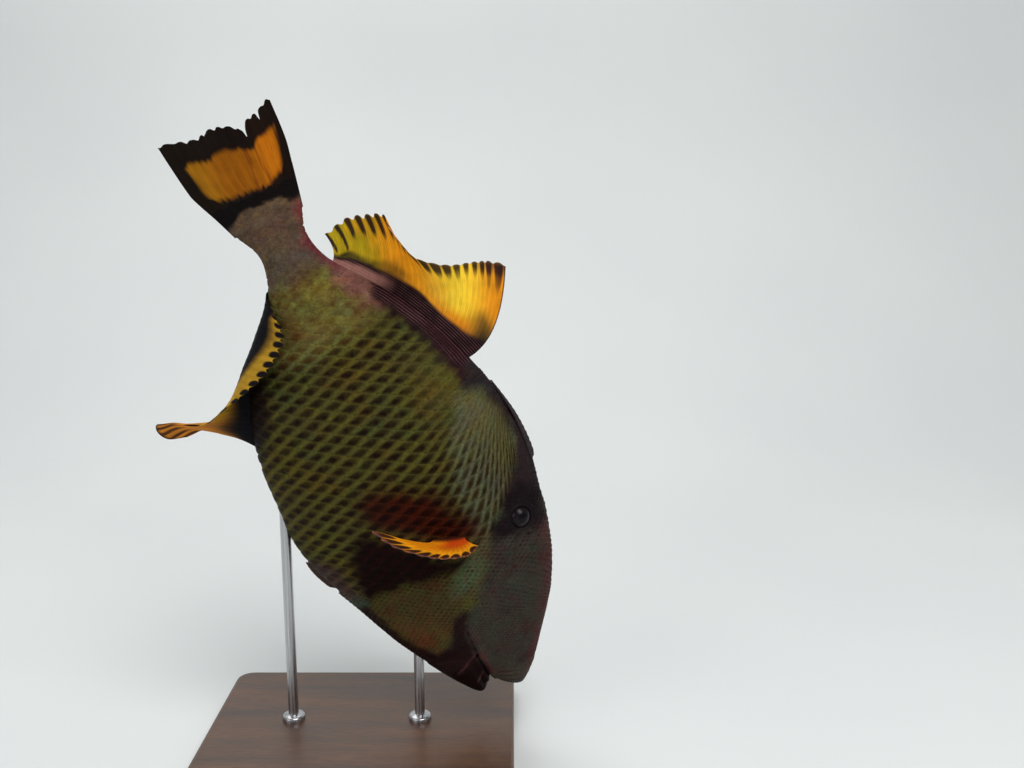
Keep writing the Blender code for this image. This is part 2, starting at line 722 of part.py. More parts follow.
def pectoral_point(t, u):
    """Surface of the left pectoral fin, from its upper ray (t 0) to its lower ray (t 1)."""
    s = mix(PECTORAL_BASE[0][0], PECTORAL_BASE[1][0], t)
    h = mix(PECTORAL_BASE[0][1], PECTORAL_BASE[1][1], t)
    outward = flank_normal(s, h)
    root = place(*flank_point(s, h)) - outward * ROOT_SINK
    tip = place(*curve(PECTORAL_TIPS, t))
    lift = root + (outward * 0.7 + (tip - root).normalized() * 0.3) * (tip - root).length * PECTORAL_SPREAD
    return bowed(root, lift, tip, u)


def make_pectoral_fins(parts, cutters):
    for name, turn in (("pectoral_fin_left", lambda shape: shape), ("pectoral_fin_right", mirror_to_right)):
        shape = turn(fin(pectoral_point, PECTORAL_RAYS, lambda t: PECTORAL_ROOT_HALF, 0.25))
        trim_to_body(new_object(name, shape, parts, "fin"), cutters)


def make_pelvic_spine(parts, cutters):
    """Short blunt spine at the end of the pelvis, with rough knobs."""
    rings = []
    for k in range(13):
        u = k / 12
        s = mix(PELVIC_SPINE[0][0], PELVIC_SPINE[1][0], u)
        h = mix(PELVIC_SPINE[0][1], PELVIC_SPINE[1][1], u)
        knob = 1 + 0.12 * math.cos(math.tau * PELVIC_SPINE_KNOBS * u)
        radius = PELVIC_SPINE_RADIUS * knob * mix(1.0, 0.45, u)
        rings.append([
            place(s, h + radius * math.sin(math.tau * i / 10), radius * math.cos(math.tau * i / 10))
            for i in range(10)
        ])
    trim_to_body(new_object("pelvic_spine", loft(rings), parts, "pelvic"), cutters)


def flap_point(t, u):
    s = mix(*FLAP_BASE, t)
    root = place(s, curve(BOTTOM, s) + ROOT_SINK, 0)
    height = FLAP_HEIGHT * math.sin(math.pi * mix(0.35, 0.90, t)) ** 0.6
    tip = place(s + FLAP_SWEEP * u, curve(BOTTOM, s) - height, 0)
    return root.lerp(tip, u)


def make_pelvic_flap(parts, cutters):
    shape = fin(flap_point, FLAP_RAYS, lambda t: 0.0018, 0.9, (0.0, 0.4, 0.7, 1.0))
    trim_to_body(new_object("pelvic_flap", shape, parts, "pelvic"), cutters)


def make_stand_base(parts):
    """Flat base: a rounded rectangle with eased edges."""
    length, width, height = BASE_SIZE
    shape = bmesh.new()
    bmesh.ops.create_cube(shape, size=1.0)
    bmesh.ops.scale(shape, vec=BASE_SIZE, verts=shape.verts[:])
    bmesh.ops.translate(shape, vec=(0, 0, height / 2), verts=shape.verts[:])
    upright = [edge for edge in shape.edges if abs(edge.verts[0].co.z - edge.verts[1].co.z) > height / 2]
    bmesh.ops.bevel(shape, geom=upright, offset=BASE_CORNER, segments=5, affect="EDGES", profile=0.5)
    top = [edge for edge in shape.edges if min(vertex.co.z for vertex in edge.verts) > height * 0.9]
    bmesh.ops.bevel(shape, geom=top, offset=BASE_EDGE, segments=2, affect="EDGES", profile=0.5)
    new_object("stand_base", shape, parts, "base")


def make_stand_rods(parts, cutters):
    """Upright rods from the base into the underside of the fish, each with a collar at its foot."""
    foot = BASE_SIZE[2] + GAP
    for name, x in ROD_PLACES:
        levels = (
            (foot, ROD_COLLAR_RADIUS), (foot + ROD_COLLAR_HEIGHT * 0.7, ROD_COLLAR_RADIUS),
            (foot + ROD_COLLAR_HEIGHT, ROD_COLLAR_RADIUS * 0.8), (foot + ROD_COLLAR_HEIGHT, ROD_RADIUS),
            (ROD_REACH, ROD_RADIUS),
        )
        rings = []
        for z, radius in levels:
            angles = [math.tau * i / 16 for i in range(16)]
            rings.append([Vector((x + radius * math.cos(a), radius * math.sin(a), z)) for a in angles])
        rod = new_object(name, loft(rings), parts, "rod")
        trim_to_body(rod, cutters)


def main():
    for old in list(bpy.data.objects):
        bpy.data.objects.remove(old)
    parts = bpy.data.collections.new("titan_triggerfish")
    cutters = bpy.data.collections.new("cutters")
    bpy.context.scene.collection.children.link(parts)
    bpy.context.scene.collection.children.link(cutters)
    make_head(parts, cutters)
    make_torso(parts, cutters)
    make_tail_stem(parts)
    make_upper_lip(parts)
    make_lower_jaw(parts)
    make_eyes(parts)
    make_spiny_dorsal(parts, cutters)
    make_soft_dorsal(parts, cutters)
    make_anal_fin(parts, cutters)
    make_caudal_fin(parts)
    make_pectoral_fins(parts, cutters)
    make_pelvic_spine(parts, cutters)
    make_pelvic_flap(parts, cutters)
    make_stand_base(parts)
    make_stand_rods(parts, cutters)


main()
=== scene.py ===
"""Titan triggerfish on its stand: skin, scales, fins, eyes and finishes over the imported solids.

Fish coordinates are (s, h, y): s runs from the mouth back along the body's axis, h up towards the
back and y towards the fish's left side. place() turns arrays of them into the frame's metres.
Shapes are worked out as numpy arrays over a grid and handed to Blender as meshes.
"""

import math

import bmesh
import bpy
import numpy as np
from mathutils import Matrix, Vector
from mathutils.bvhtree import BVHTree


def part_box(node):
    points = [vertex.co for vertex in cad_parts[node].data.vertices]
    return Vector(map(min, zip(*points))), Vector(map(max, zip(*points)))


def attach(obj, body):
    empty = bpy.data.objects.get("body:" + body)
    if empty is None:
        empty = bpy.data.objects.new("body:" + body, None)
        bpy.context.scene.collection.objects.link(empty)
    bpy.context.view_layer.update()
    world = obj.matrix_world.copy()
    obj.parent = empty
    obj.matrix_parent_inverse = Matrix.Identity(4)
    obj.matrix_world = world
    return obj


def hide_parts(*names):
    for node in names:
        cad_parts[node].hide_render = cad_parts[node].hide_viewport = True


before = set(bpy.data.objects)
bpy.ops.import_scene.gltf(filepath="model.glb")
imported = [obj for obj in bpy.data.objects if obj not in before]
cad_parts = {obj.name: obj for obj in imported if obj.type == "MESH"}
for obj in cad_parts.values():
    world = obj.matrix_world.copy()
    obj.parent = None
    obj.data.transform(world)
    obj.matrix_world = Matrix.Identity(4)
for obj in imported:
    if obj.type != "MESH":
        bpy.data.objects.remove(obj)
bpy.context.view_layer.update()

# Camera, lights as (name, place, size, watts) and stage
CAMERA_AT = (0.14799, -0.91366, 0.53662)
CAMERA_PITCH = math.radians(11)
CAMERA_LENS = 35.0
CAMERA_SENSOR = 36.0
LIGHTS = (
    ("key", (0.9, -1.2, 2.4), 1.6, 43), ("fill", (-1.9, -1.9, 1.2), 1.8, 16),
    ("back", (-0.5, 1.1, 2.2), 1.4, 13.5),
)
LIGHTS_AIM = (0, 0, 0.3)
SKY_STRENGTH = 0.35
FLOOR_FRONT = -3.5
WALL_AT = 1.6
WALL_BEND = 0.9
WALL_TOP = 4.0
STAGE_HALF_WIDTH = 5

# Pose, as in the solids
MOUTH_X = 0.1331
MOUTH_Z = 0.0566
SIN_LEAN = math.sin(math.radians(24.34))
COS_LEAN = math.cos(math.radians(24.34))

# Body: heights of the back and belly, half width and widest level, each as (s, value)
BODY_FRONT = 0.012
BODY_REAR = 0.500
SKIN_REAR = 0.532
TOP = (
    (0.012, 0.0465), (0.031, 0.0610), (0.068, 0.0880), (0.100, 0.1045), (0.134, 0.1155),
    (0.170, 0.1230), (0.206, 0.1290), (0.240, 0.1290), (0.272, 0.1235), (0.300, 0.1165),
    (0.350, 0.0985), (0.392, 0.0760), (0.425, 0.0510), (0.448, 0.0330), (0.475, 0.0265),
    (0.500, 0.0345), (0.532, 0.0415),
)
BOTTOM = (
    (0.012, -0.0275), (0.046, -0.0505), (0.083, -0.0710), (0.115, -0.0850), (0.150, -0.0985),
    (0.184, -0.1120), (0.216, -0.1180), (0.250, -0.1165), (0.300, -0.1120), (0.340, -0.1000),
    (0.382, -0.0790), (0.407, -0.0570), (0.428, -0.0385), (0.450, -0.0270), (0.473, -0.0240),
    (0.500, -0.0370), (0.532, -0.0500),
)
HALF_WIDTH = (
    (0.012, 0.0190), (0.036, 0.0265), (0.080, 0.0350), (0.130, 0.0420), (0.180, 0.0475),
    (0.230, 0.0490), (0.290, 0.0450), (0.350, 0.0350), (0.400, 0.0250), (0.440, 0.0175),
    (0.470, 0.0130), (0.500, 0.0070), (0.516, 0.0038), (0.532, 0.0016),
)
WIDEST_LEVEL = ((0.012, 0.016), (0.080, 0.008), (0.200, 0.004), (0.500, 0.000), (0.532, -0.004))
EDGE_POWER = ((0.012, 0.50), (0.120, 0.56), (0.230, 0.62), (0.400, 0.60), (0.500, 0.50), (0.532, 0.50))
FLANK_RINGS = 320
FLANK_POINTS = 161
SECTION_ANGLES = 361
COAT_DEPTH = 0.0007
SURFACE_STEP = 0.001

# Skin: voxel size, share and rounds of smoothing, the part with finer points, as s and h, and how far
# it sinks on the head and under the large scales, which lie between two fades along the fish
VOXEL = 0.0014
SMOOTHING = 0.5
SMOOTHING_ROUNDS = 2
LIP_SMOOTHING = 0.6
LIP_SMOOTHING_ROUNDS = 5
LIP_SMOOTHING_FADE = (0.045, 0.020)
FINE_MOUTH = (0.050, 0.040)
SKIN_DEPTHS = (-0.0003, 0.0005)
SUNK_FRONT = (0.150, 0.170)
SUNK_REAR = (0.500, 0.480)
LEAST_CORE = 0.15

# Mouth
MOUTH_CORNER = (0.046, 0.0005)
CREASE_END = (0.033, -0.035)
UPPER_LIP_TIP = (-0.0070, 0.0245)
LOWER_JAW_TIP = (-0.0003, -0.0160)
LOWER_JAW_ROOT = 0.050
LOWER_JAW_TOP = -0.0006
LOWER_JAW_HALF_WIDTH = 0.026
UPPER_LIP_LEVEL = 0.018
UPPER_LIP_FULLNESS = 1.0
LOWER_JAW_LEVEL = -0.011
LOWER_JAW_FULLNESS = 0.62
LIP_ROOT_DEPTH = 0.012
LIP_ROOT_HALF_WIDTH = 0.018
LIP_POINTS = 72
LIP_RINGS = 40

# Folds of the face: (start, end, depth at each, width); a negative depth is a raised fold. Creases get full
# painted shade and raised folds full tint from these depths on.
FULL_SHADE_DEPTH = 0.0016
TINT_HEIGHT = 0.0007
FACE_FOLDS = (
    ((-0.008, 0.0005), (0.014, 0.0005), 0.0075, 0.0060, 0.0019),
    ((0.014, 0.0005), MOUTH_CORNER, 0.0042, 0.0022, 0.0014),
    (MOUTH_CORNER, (0.054, 0.0020), 0.0022, 0.0014, 0.0014),
    ((0.054, 0.0020), (0.072, 0.0030), 0.0014, 0.0010, 0.0016),
    ((0.072, 0.0030), (0.089, 0.0110), 0.0010, 0.0004, 0.0018),
    ((0.020, 0.0068), (0.042, 0.0062), -0.0005, -0.0007, 0.0022),
    ((0.042, 0.0062), (0.072, 0.0080), -0.0007, -0.0007, 0.0030),
    (MOUTH_CORNER, CREASE_END, 0.0013, 0.0006, 0.0011),
    ((0.0485, 0.0005), (0.0350, -0.0240), -0.0011, -0.0006, 0.0012),
    ((0.0190, -0.0114), (0.0275, -0.0020), -0.0006, -0.0005, 0.0010),
    ((0.0240, -0.0060), (0.0080, -0.0100), 0.0008, 0.0005, 0.0009),
    ((0.0200, 0.0060), (0.0068, 0.0420), 0.0006, 0.0004, 0.0009),
    ((0.0150, 0.0060), (0.0030, 0.0400), 0.0005, 0.0004, 0.0008),
    ((0.0228, 0.0113), (0.0050, 0.0420), -0.0004, -0.0003, 0.0009),
    ((0.0173, 0.0100), (0.0020, 0.0400), -0.0005, -0.0003, 0.0008),
    ((0.0120, 0.0080), (0.0005, 0.0380), -0.0004, -0.0003, 0.0008),
)

# Eyes, with the rings raised round them as (height, distance beyond the rim, width)
EYE_AT = (0.155, 0.096)
EYE_RADIUS = 0.0120
EYE_SINK = 0.0075
EYE_RINGS = ((0.0014, 0.0018, 0.0014), (0.0005, 0.0050, 0.0012))
SOCKET_DEPTH = 0.0030
FINE_ROUND_EYE = 0.024
EYE_GRID = (49, 64)
EYE_BULGE = 0.035
EYE_BULGE_ANGLE = 0.45

# Nostrils, with their rims as (height, radius, width)
NOSTRILS = ((0.1365, 0.0955), (0.1310, 0.0925))
NOSTRIL_DEPTH = 0.0028
NOSTRIL_RADIUS = 0.0011
NOSTRIL_RIM = (0.0007, 0.0021, 0.0008)

# Gill slit, raised flap before it and groove before the eye, as in the folds of the face but with one
# depth, then the share of painted shade in the crease and how wide that shade is
GROOVE = ((0.141, 0.087), (0.106, 0.063))
GILL_SLIT = ((0.1360, 0.012), (0.1500, 0.050))
GILL_FLAP = ((0.1320, 0.010), (0.1460, 0.052))
SIDE_CREASES = (
    (*GILL_SLIT, 0.0030, 0.0013, 0.6, 0.0012),
    (*GILL_FLAP, -0.0009, 0.0028, 0.0, 0.0028),
    (*GROOVE, 0.0020, 0.0024, 0.4, 0.0018),
)
SIDE_FROM = 0.004

# Folded first dorsal fin, as (root s, tip s, radius)
SPINES = ((0.197, 0.281, 0.0040), (0.205, 0.252, 0.0022), (0.238, 0.268, 0.0017))
SPINE_SIDE_STEP = 0.0022
SPINE_TIP_RADIUS = 0.0008
SPINE_RINGS = 48
SPINE_POINTS = 20
SPINE_RISE = 0.0002
SPINE_GROOVE = (0.192, 0.286)
FURROW_DEPTH = 0.0016
FURROW_WIDTH = 0.0012
FURROW_ASIDE = (0.0048, 0.0022)

# Fins
ROOT_SINK = 0.003
MEMBRANE_HALF = 0.00028
RAY_RISE = 0.00022
RAY_JOINTS = 230
RIPPLE = 0.0004
EVEN_SCALLOP = 0.03
SHEATH_PITCH = 0.0023
DORSAL_RAYS = 25
DORSAL_LOBES = 20.5
DORSAL_BASE = (0.309, 0.440)
DORSAL_ROOT_BIAS = 0.55
DORSAL_TIPS = (
    (0.00, (0.3735, 0.179, 0.000)), (0.10, (0.3820, 0.167, 0.000)), (0.22, (0.3870, 0.155, 0.000)),
    (0.38, (0.3960, 0.131, -0.018)), (0.50, (0.4130, 0.110, -0.032)), (0.60, (0.4320, 0.103, -0.036)),
    (0.70, (0.4500, 0.099, -0.029)), (0.75, (0.4590, 0.099, -0.022)), (0.85, (0.4670, 0.081, -0.009)),
    (0.92, (0.4710, 0.064, -0.002)), (1.00, (0.4660, 0.040, 0.003)),
)
DORSAL_LIFT = ((0.00, (0.02, 0.40, 0.00)), (0.50, (0.25, 0.40, 0.00)), (1.00, (0.30, 0.35, 0.00)))
ANAL_RAYS = 23
ANAL_LOBES = 16
ANAL_BASE = (0.313, 0.440)
ANAL_TIPS = (
    (0.00, (0.3490, -0.163, 0.000)), (0.04, (0.3550, -0.179, -0.002)), (0.08, (0.3665, -0.184, -0.005)),
    (0.12, (0.3725, -0.179, -0.009)), (0.17, (0.3660, -0.162, -0.014)), (0.25, (0.3550, -0.136, -0.021)),
    (0.34, (0.3600, -0.110, -0.030)), (0.44, (0.3650, -0.085, -0.040)), (0.62, (0.3770, -0.048, -0.046)),
    (0.80, (0.3970, -0.026, -0.039)), (1.00, (0.4270, -0.030, -0.017)),
)
ANAL_LIFT = (
    (0.00, (0.47, 0.33, 0.00)), (0.30, (0.24, 0.62, -0.40)), (0.65, (0.06, 0.36, -0.30)),
    (1.00, (0.10, 0.30, -0.25)),
)
# The anal fin's front rays draw together into a waist behind their fanned tips
ANAL_WAIST = 0.0045
WAIST_AT = 0.72
WAIST_LENGTH = 0.16
WAIST_END = 0.14
SHEATH_HALF = 0.0030
SHEATH_SHARE = 0.30
CAUDAL_RAYS = 12
CAUDAL_ROOT = 0.496
CAUDAL_UPPER_EDGE = ((0.496, 0.0335), (0.516, 0.0380), (0.537, 0.0425), (0.558, 0.0465), (0.596, 0.0485))
CAUDAL_LOWER_EDGE = ((0.496, -0.0355), (0.518, -0.0440), (0.533, -0.0505), (0.547, -0.0555), (0.598, -0.0620))
CAUDAL_MARGIN = (
    (0.00, 0.598), (0.20, 0.592), (0.31, 0.589), (0.45, 0.591), (0.56, 0.588), (0.65, 0.583),
    (0.69, 0.578), (0.75, 0.585), (0.86, 0.588), (1.00, 0.595),
)
PECTORAL_RAYS = 14
PECTORAL_LOBES = 10
PECTORAL_BASE = ((0.163, 0.042), (0.172, 0.017))
PECTORAL_TIPS = (
    (0.00, (0.1600, 0.057, 0.072)), (0.20, (0.1620, 0.047, 0.090)), (0.40, (0.1700, 0.030, 0.099)),
    (0.60, (0.1820, 0.013, 0.101)), (0.80, (0.1980, -0.009, 0.092)), (1.00, (0.2150, -0.026, 0.072)),
)
PECTORAL_ROOT_HALF = 0.0034
PECTORAL_SPREAD = 0.40

# Pelvic spine and flap
PELVIC_SPINE = ((0.119, -0.0830), (0.150, -0.0995))
PELVIC_SPINE_RADIUS = 0.0040
PELVIC_SPINE_RINGS = 60
PELVIC_SPINE_POINTS = 28
FLAP_RAYS = 7
FLAP_BASE = (0.153, 0.186)
FLAP_HEIGHT = 0.0075
FLAP_SWEEP = 0.006
FLAP_ROOT_HALF = 0.0018

# Scales: the flank's two row directions as (s, w) steps in metres, and the size along the fish
ROW_STEP = np.array((0.0041, 0.0124))
CROSS_STEP = np.array((-0.0077, 0.0134))
SCALE_SIZE = (
    (0.100, 0.85), (0.190, 0.95), (0.240, 1.00), (0.370, 0.98), (0.420, 0.74), (0.460, 0.52), (0.532, 0.36),
)
SCALE_RISE = 0.0009
SCALE_CELLS = 10
SCALE_CORNERS = 12
SCALES_END = 0.524
SCALES_REACH = 0.24
SCALE_EYE_GAP = 0.019
EVEN_AT = 0.26
# On the shoulder the rows draw together towards this point at the front of the dorsal fin
FAN_AT = np.array((0.292, 0.112))
FAN_REACH = (-0.010, 0.110)
FAN_NARROWEST = 0.24
HEAD_ROW_STEP = np.array((0.5, 0.87)) * 0.0044
HEAD_CROSS_STEP = np.array((-0.5, 0.87)) * 0.0044
HEAD_SCALE_SIZE = ((0.020, 0.62), (0.075, 0.78), (0.110, 1.08), (0.150, 1.08), (0.330, 0.85))
HEAD_SCALE_RISE = 0.00058
HEAD_SCALE_SHARE = 0.93
HEAD_CELLS = 4
HEAD_SCALE_CORNERS = 5
HEAD_SCALES_END = 0.36
HEAD_SCALES_REACH = 0.26
HEAD_SCALE_EYE_GAP = 0.0165
# Lines that the small scales keep clear of, as (start, end, distance)
CLEAR_LINES = (
    (*GILL_SLIT, 0.0028), (*GROOVE, 0.0022), *((fold[0], fold[1], 0.0018) for fold in FACE_FOLDS[:5]),
)
# Bare skin in lines below the dorsal fin, in (s, h)
BARE = (
    (0.300, 0.135), (0.304, 0.109), (0.318, 0.101), (0.345, 0.090), (0.363, 0.079), (0.385, 0.067),
    (0.405, 0.055), (0.425, 0.044), (0.446, 0.035), (0.450, 0.060), (0.350, 0.130),
)
# Where the large scales of the flank begin, as (h, s)
FLANK_START = (
    (-0.120, 0.150), (-0.090, 0.150), (-0.060, 0.146), (0.010, 0.147), (0.050, 0.153), (0.064, 0.152),
    (0.078, 0.164), (0.095, 0.184), (0.110, 0.198), (0.116, 0.212), (0.124, 0.250), (0.132, 0.300),
)

# UV map of the scales: free margin, share that is used, girth that fills it, half size of a patch
MAP_MARGIN = 0.03
MAP_SPAN = 0.94
MAP_GIRTH = 0.32
MAP_PATCH = 0.0015

# Turned profile of a rod, as (height over its lower end, radius); its top runs on into the fish
ROD_PROFILE = (
    (-0.0003, 0.0110), (0.0036, 0.0110), (0.0044, 0.0106), (0.0050, 0.0096), (0.0054, 0.0080),
    (0.0060, 0.0056), (0.0062, 0.0050),
)
ROD_INTO_FISH = 0.004
ROD_POINTS = 48
ROD_SHARP_ANGLE = math.radians(35)

NOISE_CELLS = 48
NOISE = np.random.RandomState(11).rand(NOISE_CELLS, NOISE_CELLS, NOISE_CELLS)


def rgb(red, green, blue):
    """Linear colour from 0 to 255 display values."""
    value = np.array((red, green, blue)) / 255.0
    return np.where(value <= 0.04045, value / 12.92, ((value + 0.055) / 1.055) ** 2.4)


FLANK_LIGHT = rgb(92, 87, 38)
FLANK_DARK = rgb(28, 13, 3)
CREASE_TINT = rgb(92, 54, 56)
# How a tone of 1 changes the light colour of the flank's and the head's scales
FLANK_TONE = np.array((0.20, 0.06, -0.24))
HEAD_TONE = np.array((0.25, -0.42, -0.30))
SKIN_TONE = 0.74
# Markings, from the tail forwards: (name, light colour between scales, dark colour in their middles,
# blur, outline as (s, h)), in millimetres. Later ones lie over earlier ones.
MARKINGS = (
    ("rear", (124, 118, 62), (84, 58, 22), 14, (
        (470, -40), (470, 40), (404, 52), (380, 56), (372, 19), (368, -10), (372, -37), (395, -60))),
    ("tail", (108, 90, 76), (80, 64, 54), 12, (
        (560, -80), (560, 80), (446, 60), (440, 0), (446, -60))),
    ("tail_band", (20, 12, 14), (12, 8, 10), 3, (
        (560, -80), (560, 80), (504, 60), (507, 30), (514, 10), (515, -10), (509, -30), (499, -60))),
    ("pink_edge", (132, 60, 64), (102, 42, 48), 6, (
        (500, 60), (500, 31), (470, 20), (448, 24), (430, 36), (405, 60), (400, 90))),
    ("pink_patch", (146, 102, 92), (112, 70, 66), 7, (
        (446, 50), (421, 60), (395, 78), (384, 78), (385, 58), (406, 43), (426, 34))),
    ("stripe_band", (48, 20, 28), (26, 8, 14), 6, (
        (420, 62), (398, 90), (330, 130), (300, 130), (280, 107), (293, 97), (318, 92), (345, 83),
        (363, 73), (380, 64), (395, 59))),
    ("anal_base", (34, 24, 20), (18, 10, 11), 10, (
        (362, -68), (340, -72), (320, -85), (296, -125), (380, -110), (420, -60), (392, -58))),
    ("head", (68, 64, 58), (46, 30, 33), 10, (
        (-30, -60), (-30, 150), (215, 160), (207, 112), (180, 85), (151, 62), (123, 42), (107, 28),
        (89, 8), (60, -60))),
    ("snout_ridge", (92, 58, 57), (60, 33, 36), 10, (
        (-30, 20), (-5, 34), (30, 52), (70, 82), (100, 98), (140, 112), (150, 140), (-30, 140))),
    ("saddle", (48, 38, 42), (30, 22, 26), 7, (
        (320, 150), (312, 118), (299, 104), (288, 98), (277, 107), (262, 113), (240, 116),
        (222, 116), (205, 108), (190, 96), (180, 88), (160, 118), (150, 150))),
    ("eye_patch", (30, 22, 27), (19, 12, 17), 8, (
        (192, 96), (180, 79), (166, 66), (150, 58), (144, 80), (139, 105), (142, 116), (165, 122),
        (184, 112))),
    ("shoulder", (104, 104, 76), (46, 32, 12), 8, (
        (285, 90), (279, 110), (254, 118), (222, 119), (204, 111), (186, 96), (166, 73), (150, 58),
        (155, 45), (175, 50), (207, 55), (246, 68))),
    ("above_pectoral", (68, 24, 8), (26, 4, 1), 13, (
        (240, -24), (230, 16), (204, 41), (174, 59), (157, 56), (160, 30), (180, 0), (210, -30),
        (234, -38))),
    ("below_pectoral", (30, 6, 4), (15, 2, 2), 9, (
        (206, -41), (182, -12), (157, 12), (147, 36), (139, 41), (135, 27), (138, -5), (141, -31),
        (142, -56), (134, -72), (151, -74), (181, -66), (197, -55))),
    ("belly_patch", (84, 66, 58), (50, 36, 34), 7, (
        (196, -106), (181, -80), (155, -72), (140, -78), (128, -88), (148, -120), (190, -125))),
    ("chest", (72, 82, 70), (36, 28, 28), 6, (
        (146, -80), (140, -70), (124, -72), (104, -76), (110, -100), (140, -110))),
    ("cheek", (82, 73, 42), (46, 31, 18), 6, (
        (139, -60), (139, -33), (136, 1), (132, 26), (139, 50), (123, 40), (109, 22), (93, 7),
        (87, -4), (68, -17), (60, -31), (79, -50), (107, -64), (130, -72))),
    ("cheek_front", (106, 74, 44), (60, 36, 22), 12, (
        (110, -50), (100, -30), (86, -12), (68, -17), (60, -31), (79, -50), (107, -64))),
    ("cheek_back", (88, 94, 70), (46, 42, 32), 9, (
        (150, 55), (139, 50), (123, 42), (109, 22), (115, 8), (130, 18), (142, 35))),
    ("moustache", (40, 24, 25), (25, 12, 15), 5, (
        (89, -3), (95, 12), (75, 3), (52, 2), (27, 5), (12, 1), (-20, 0), (-20, -60), (50, -60),
        (100, -80), (135, -105), (132, -78), (107, -66), (79, -52), (60, -34), (67, -18))),
    ("jaw", (27, 10, 12), (15, 4, 7), 6, (
        (40, -3), (-20, 0), (-20, -60), (30, -50), (34, -30))),
)
ZONES = [
    (rgb(*light), rgb(*dark), blur / 1000, [(s / 1000, h / 1000) for s, h in outline])
    for name, light, dark, blur, outline in MARKINGS
]


def curve(points, x):
    """Smooth curve through (x, value) points at an array of x; a value is a number or a tuple."""
    knots = np.array([point[0] for point in points])
    values = np.array([point[1] for point in points], float)
    x = np.clip(np.asarray(x, float), knots[0], knots[-1])
    i = np.clip(np.searchsorted(knots, x, side="left") - 1, 0, len(knots) - 2)
    before = np.maximum(i - 1, 0)
    after = np.minimum(i + 2, len(knots) - 1)
    span = knots[i + 1] - knots[i]
    u = (x - knots[i]) / span
    share_before = span / (knots[i + 1] - knots[before])
    share_after = span / (knots[after] - knots[i])
    if values.ndim == 2:
        u, share_before, share_after = u[..., None], share_before[..., None], share_after[..., None]
    slope_start = (values[i + 1] - values[before]) * share_before
    slope_end = (values[after] - values[i]) * share_after
    return (
        values[i] * (2 * u**3 - 3 * u**2 + 1) + slope_start * (u**3 - 2 * u**2 + u)
        + values[i + 1] * (3 * u**2 - 2 * u**3) + slope_end * (u**3 - u**2)
    )


def mix(a, b, share):
    return a + (b - a) * share


def smooth_step(low, high, x):
    u = np.clip((x - low) / (high - low), 0, 1)
    return u * u * (3 - 2 * u)


def place(s, h, y):
    """Frame positions of points given in fish coordinates."""
    s, h, y = np.broadcast_arrays(s, h, y)
    return np.stack((MOUTH_X - SIN_LEAN * s + COS_LEAN * h, y, MOUTH_Z + COS_LEAN * s + SIN_LEAN * h), -1)


def to_fish(points):
    """Fish coordinates s, h and y of frame positions."""
    x = points[..., 0] - MOUTH_X
    z = points[..., 2] - MOUTH_Z
    return COS_LEAN * z - SIN_LEAN * x, COS_LEAN * x + SIN_LEAN * z, points[..., 1]


def circle(count):
    """Evenly spread angles of a full turn."""
    return np.linspace(0, math.tau, count, endpoint=False)


def gauss(distance, width):
    return np.exp(-((distance / width) ** 2))


def unit(vectors):
    return vectors / np.maximum(np.linalg.norm(vectors, axis=-1, keepdims=True), 1e-12)


def grain(points, size):
    """Smooth random value from -1 to 1 at each point, in lumps of about the given size."""
    q = points / size
    cell = np.floor(q).astype(int)
    f = q - cell
    f = f * f * (3 - 2 * f)
    total = np.zeros(points.shape[:-1])
    for corner in np.ndindex(2, 2, 2):
        weight = np.ones_like(total)
        for axis in range(3):
            weight = weight * (f[..., axis] if corner[axis] else 1 - f[..., axis])
        index = tuple((cell[..., axis] + corner[axis]) % NOISE_CELLS for axis in range(3))
        total = total + weight * NOISE[index]
    return 2 * total - 1


def line_distance(s, h, a, b):
    """Distance from points (s, h) to the line from a to b, and how far along it, from 0 to 1."""
    ds, dh = b[0] - a[0], b[1] - a[1]
    along = np.clip(((s - a[0]) * ds + (h - a[1]) * dh) / (ds * ds + dh * dh), 0, 1)
    return np.hypot(s - a[0] - along * ds, h - a[1] - along * dh), along


def depth_inside(s, h, outline):
    """How deep points lie inside an outline: negative outside it."""
    nearest = np.full(np.shape(s), 1e9)
    inside = np.zeros(np.shape(s), bool)
    for a, b in zip(outline, outline[1:] + outline[:1]):
        nearest = np.minimum(nearest, line_distance(s, h, a, b)[0])
        if a[1] != b[1]:
            crosses = (a[1] > h) != (b[1] > h)
            inside ^= crosses & (s < (b[0] - a[0]) * (h - a[1]) / (b[1] - a[1]) + a[0])
    return np.where(inside, nearest, -nearest)


def body_ring(s, angle):
    """Height and half width of the body's section; angle 0 is the side, 90 degrees the back."""
    level = curve(WIDEST_LEVEL, s)
    sine = np.sin(angle)
    edge = np.where(sine > 0, curve(TOP, s), curve(BOTTOM, s))
    y = curve(HALF_WIDTH, s) * np.abs(np.cos(angle)) ** (2 * curve(EDGE_POWER, s))
    return level + (edge - level) * np.abs(sine), y


def half_width_at(s, h):
    """Half width of the body at a height."""
    level = curve(WIDEST_LEVEL, s)
    edge = np.where(h > level, curve(TOP, s), curve(BOTTOM, s))
    share = np.clip(np.abs((h - level) / (edge - level)), 0, 1)
    return curve(HALF_WIDTH, s) * (1 - share**2) ** curve(EDGE_POWER, s)


def left_surface(s, h):
    """Points on the body's left side and the outward directions there."""
    beside = ((s, h), (s + SURFACE_STEP, h), (s, h + SURFACE_STEP))
    here, along, up = (place(a, b, half_width_at(a, b)) for a, b in beside)
    outward = unit(np.cross(along - here, up - here))
    return here, outward * np.sign(outward[..., 1:2])


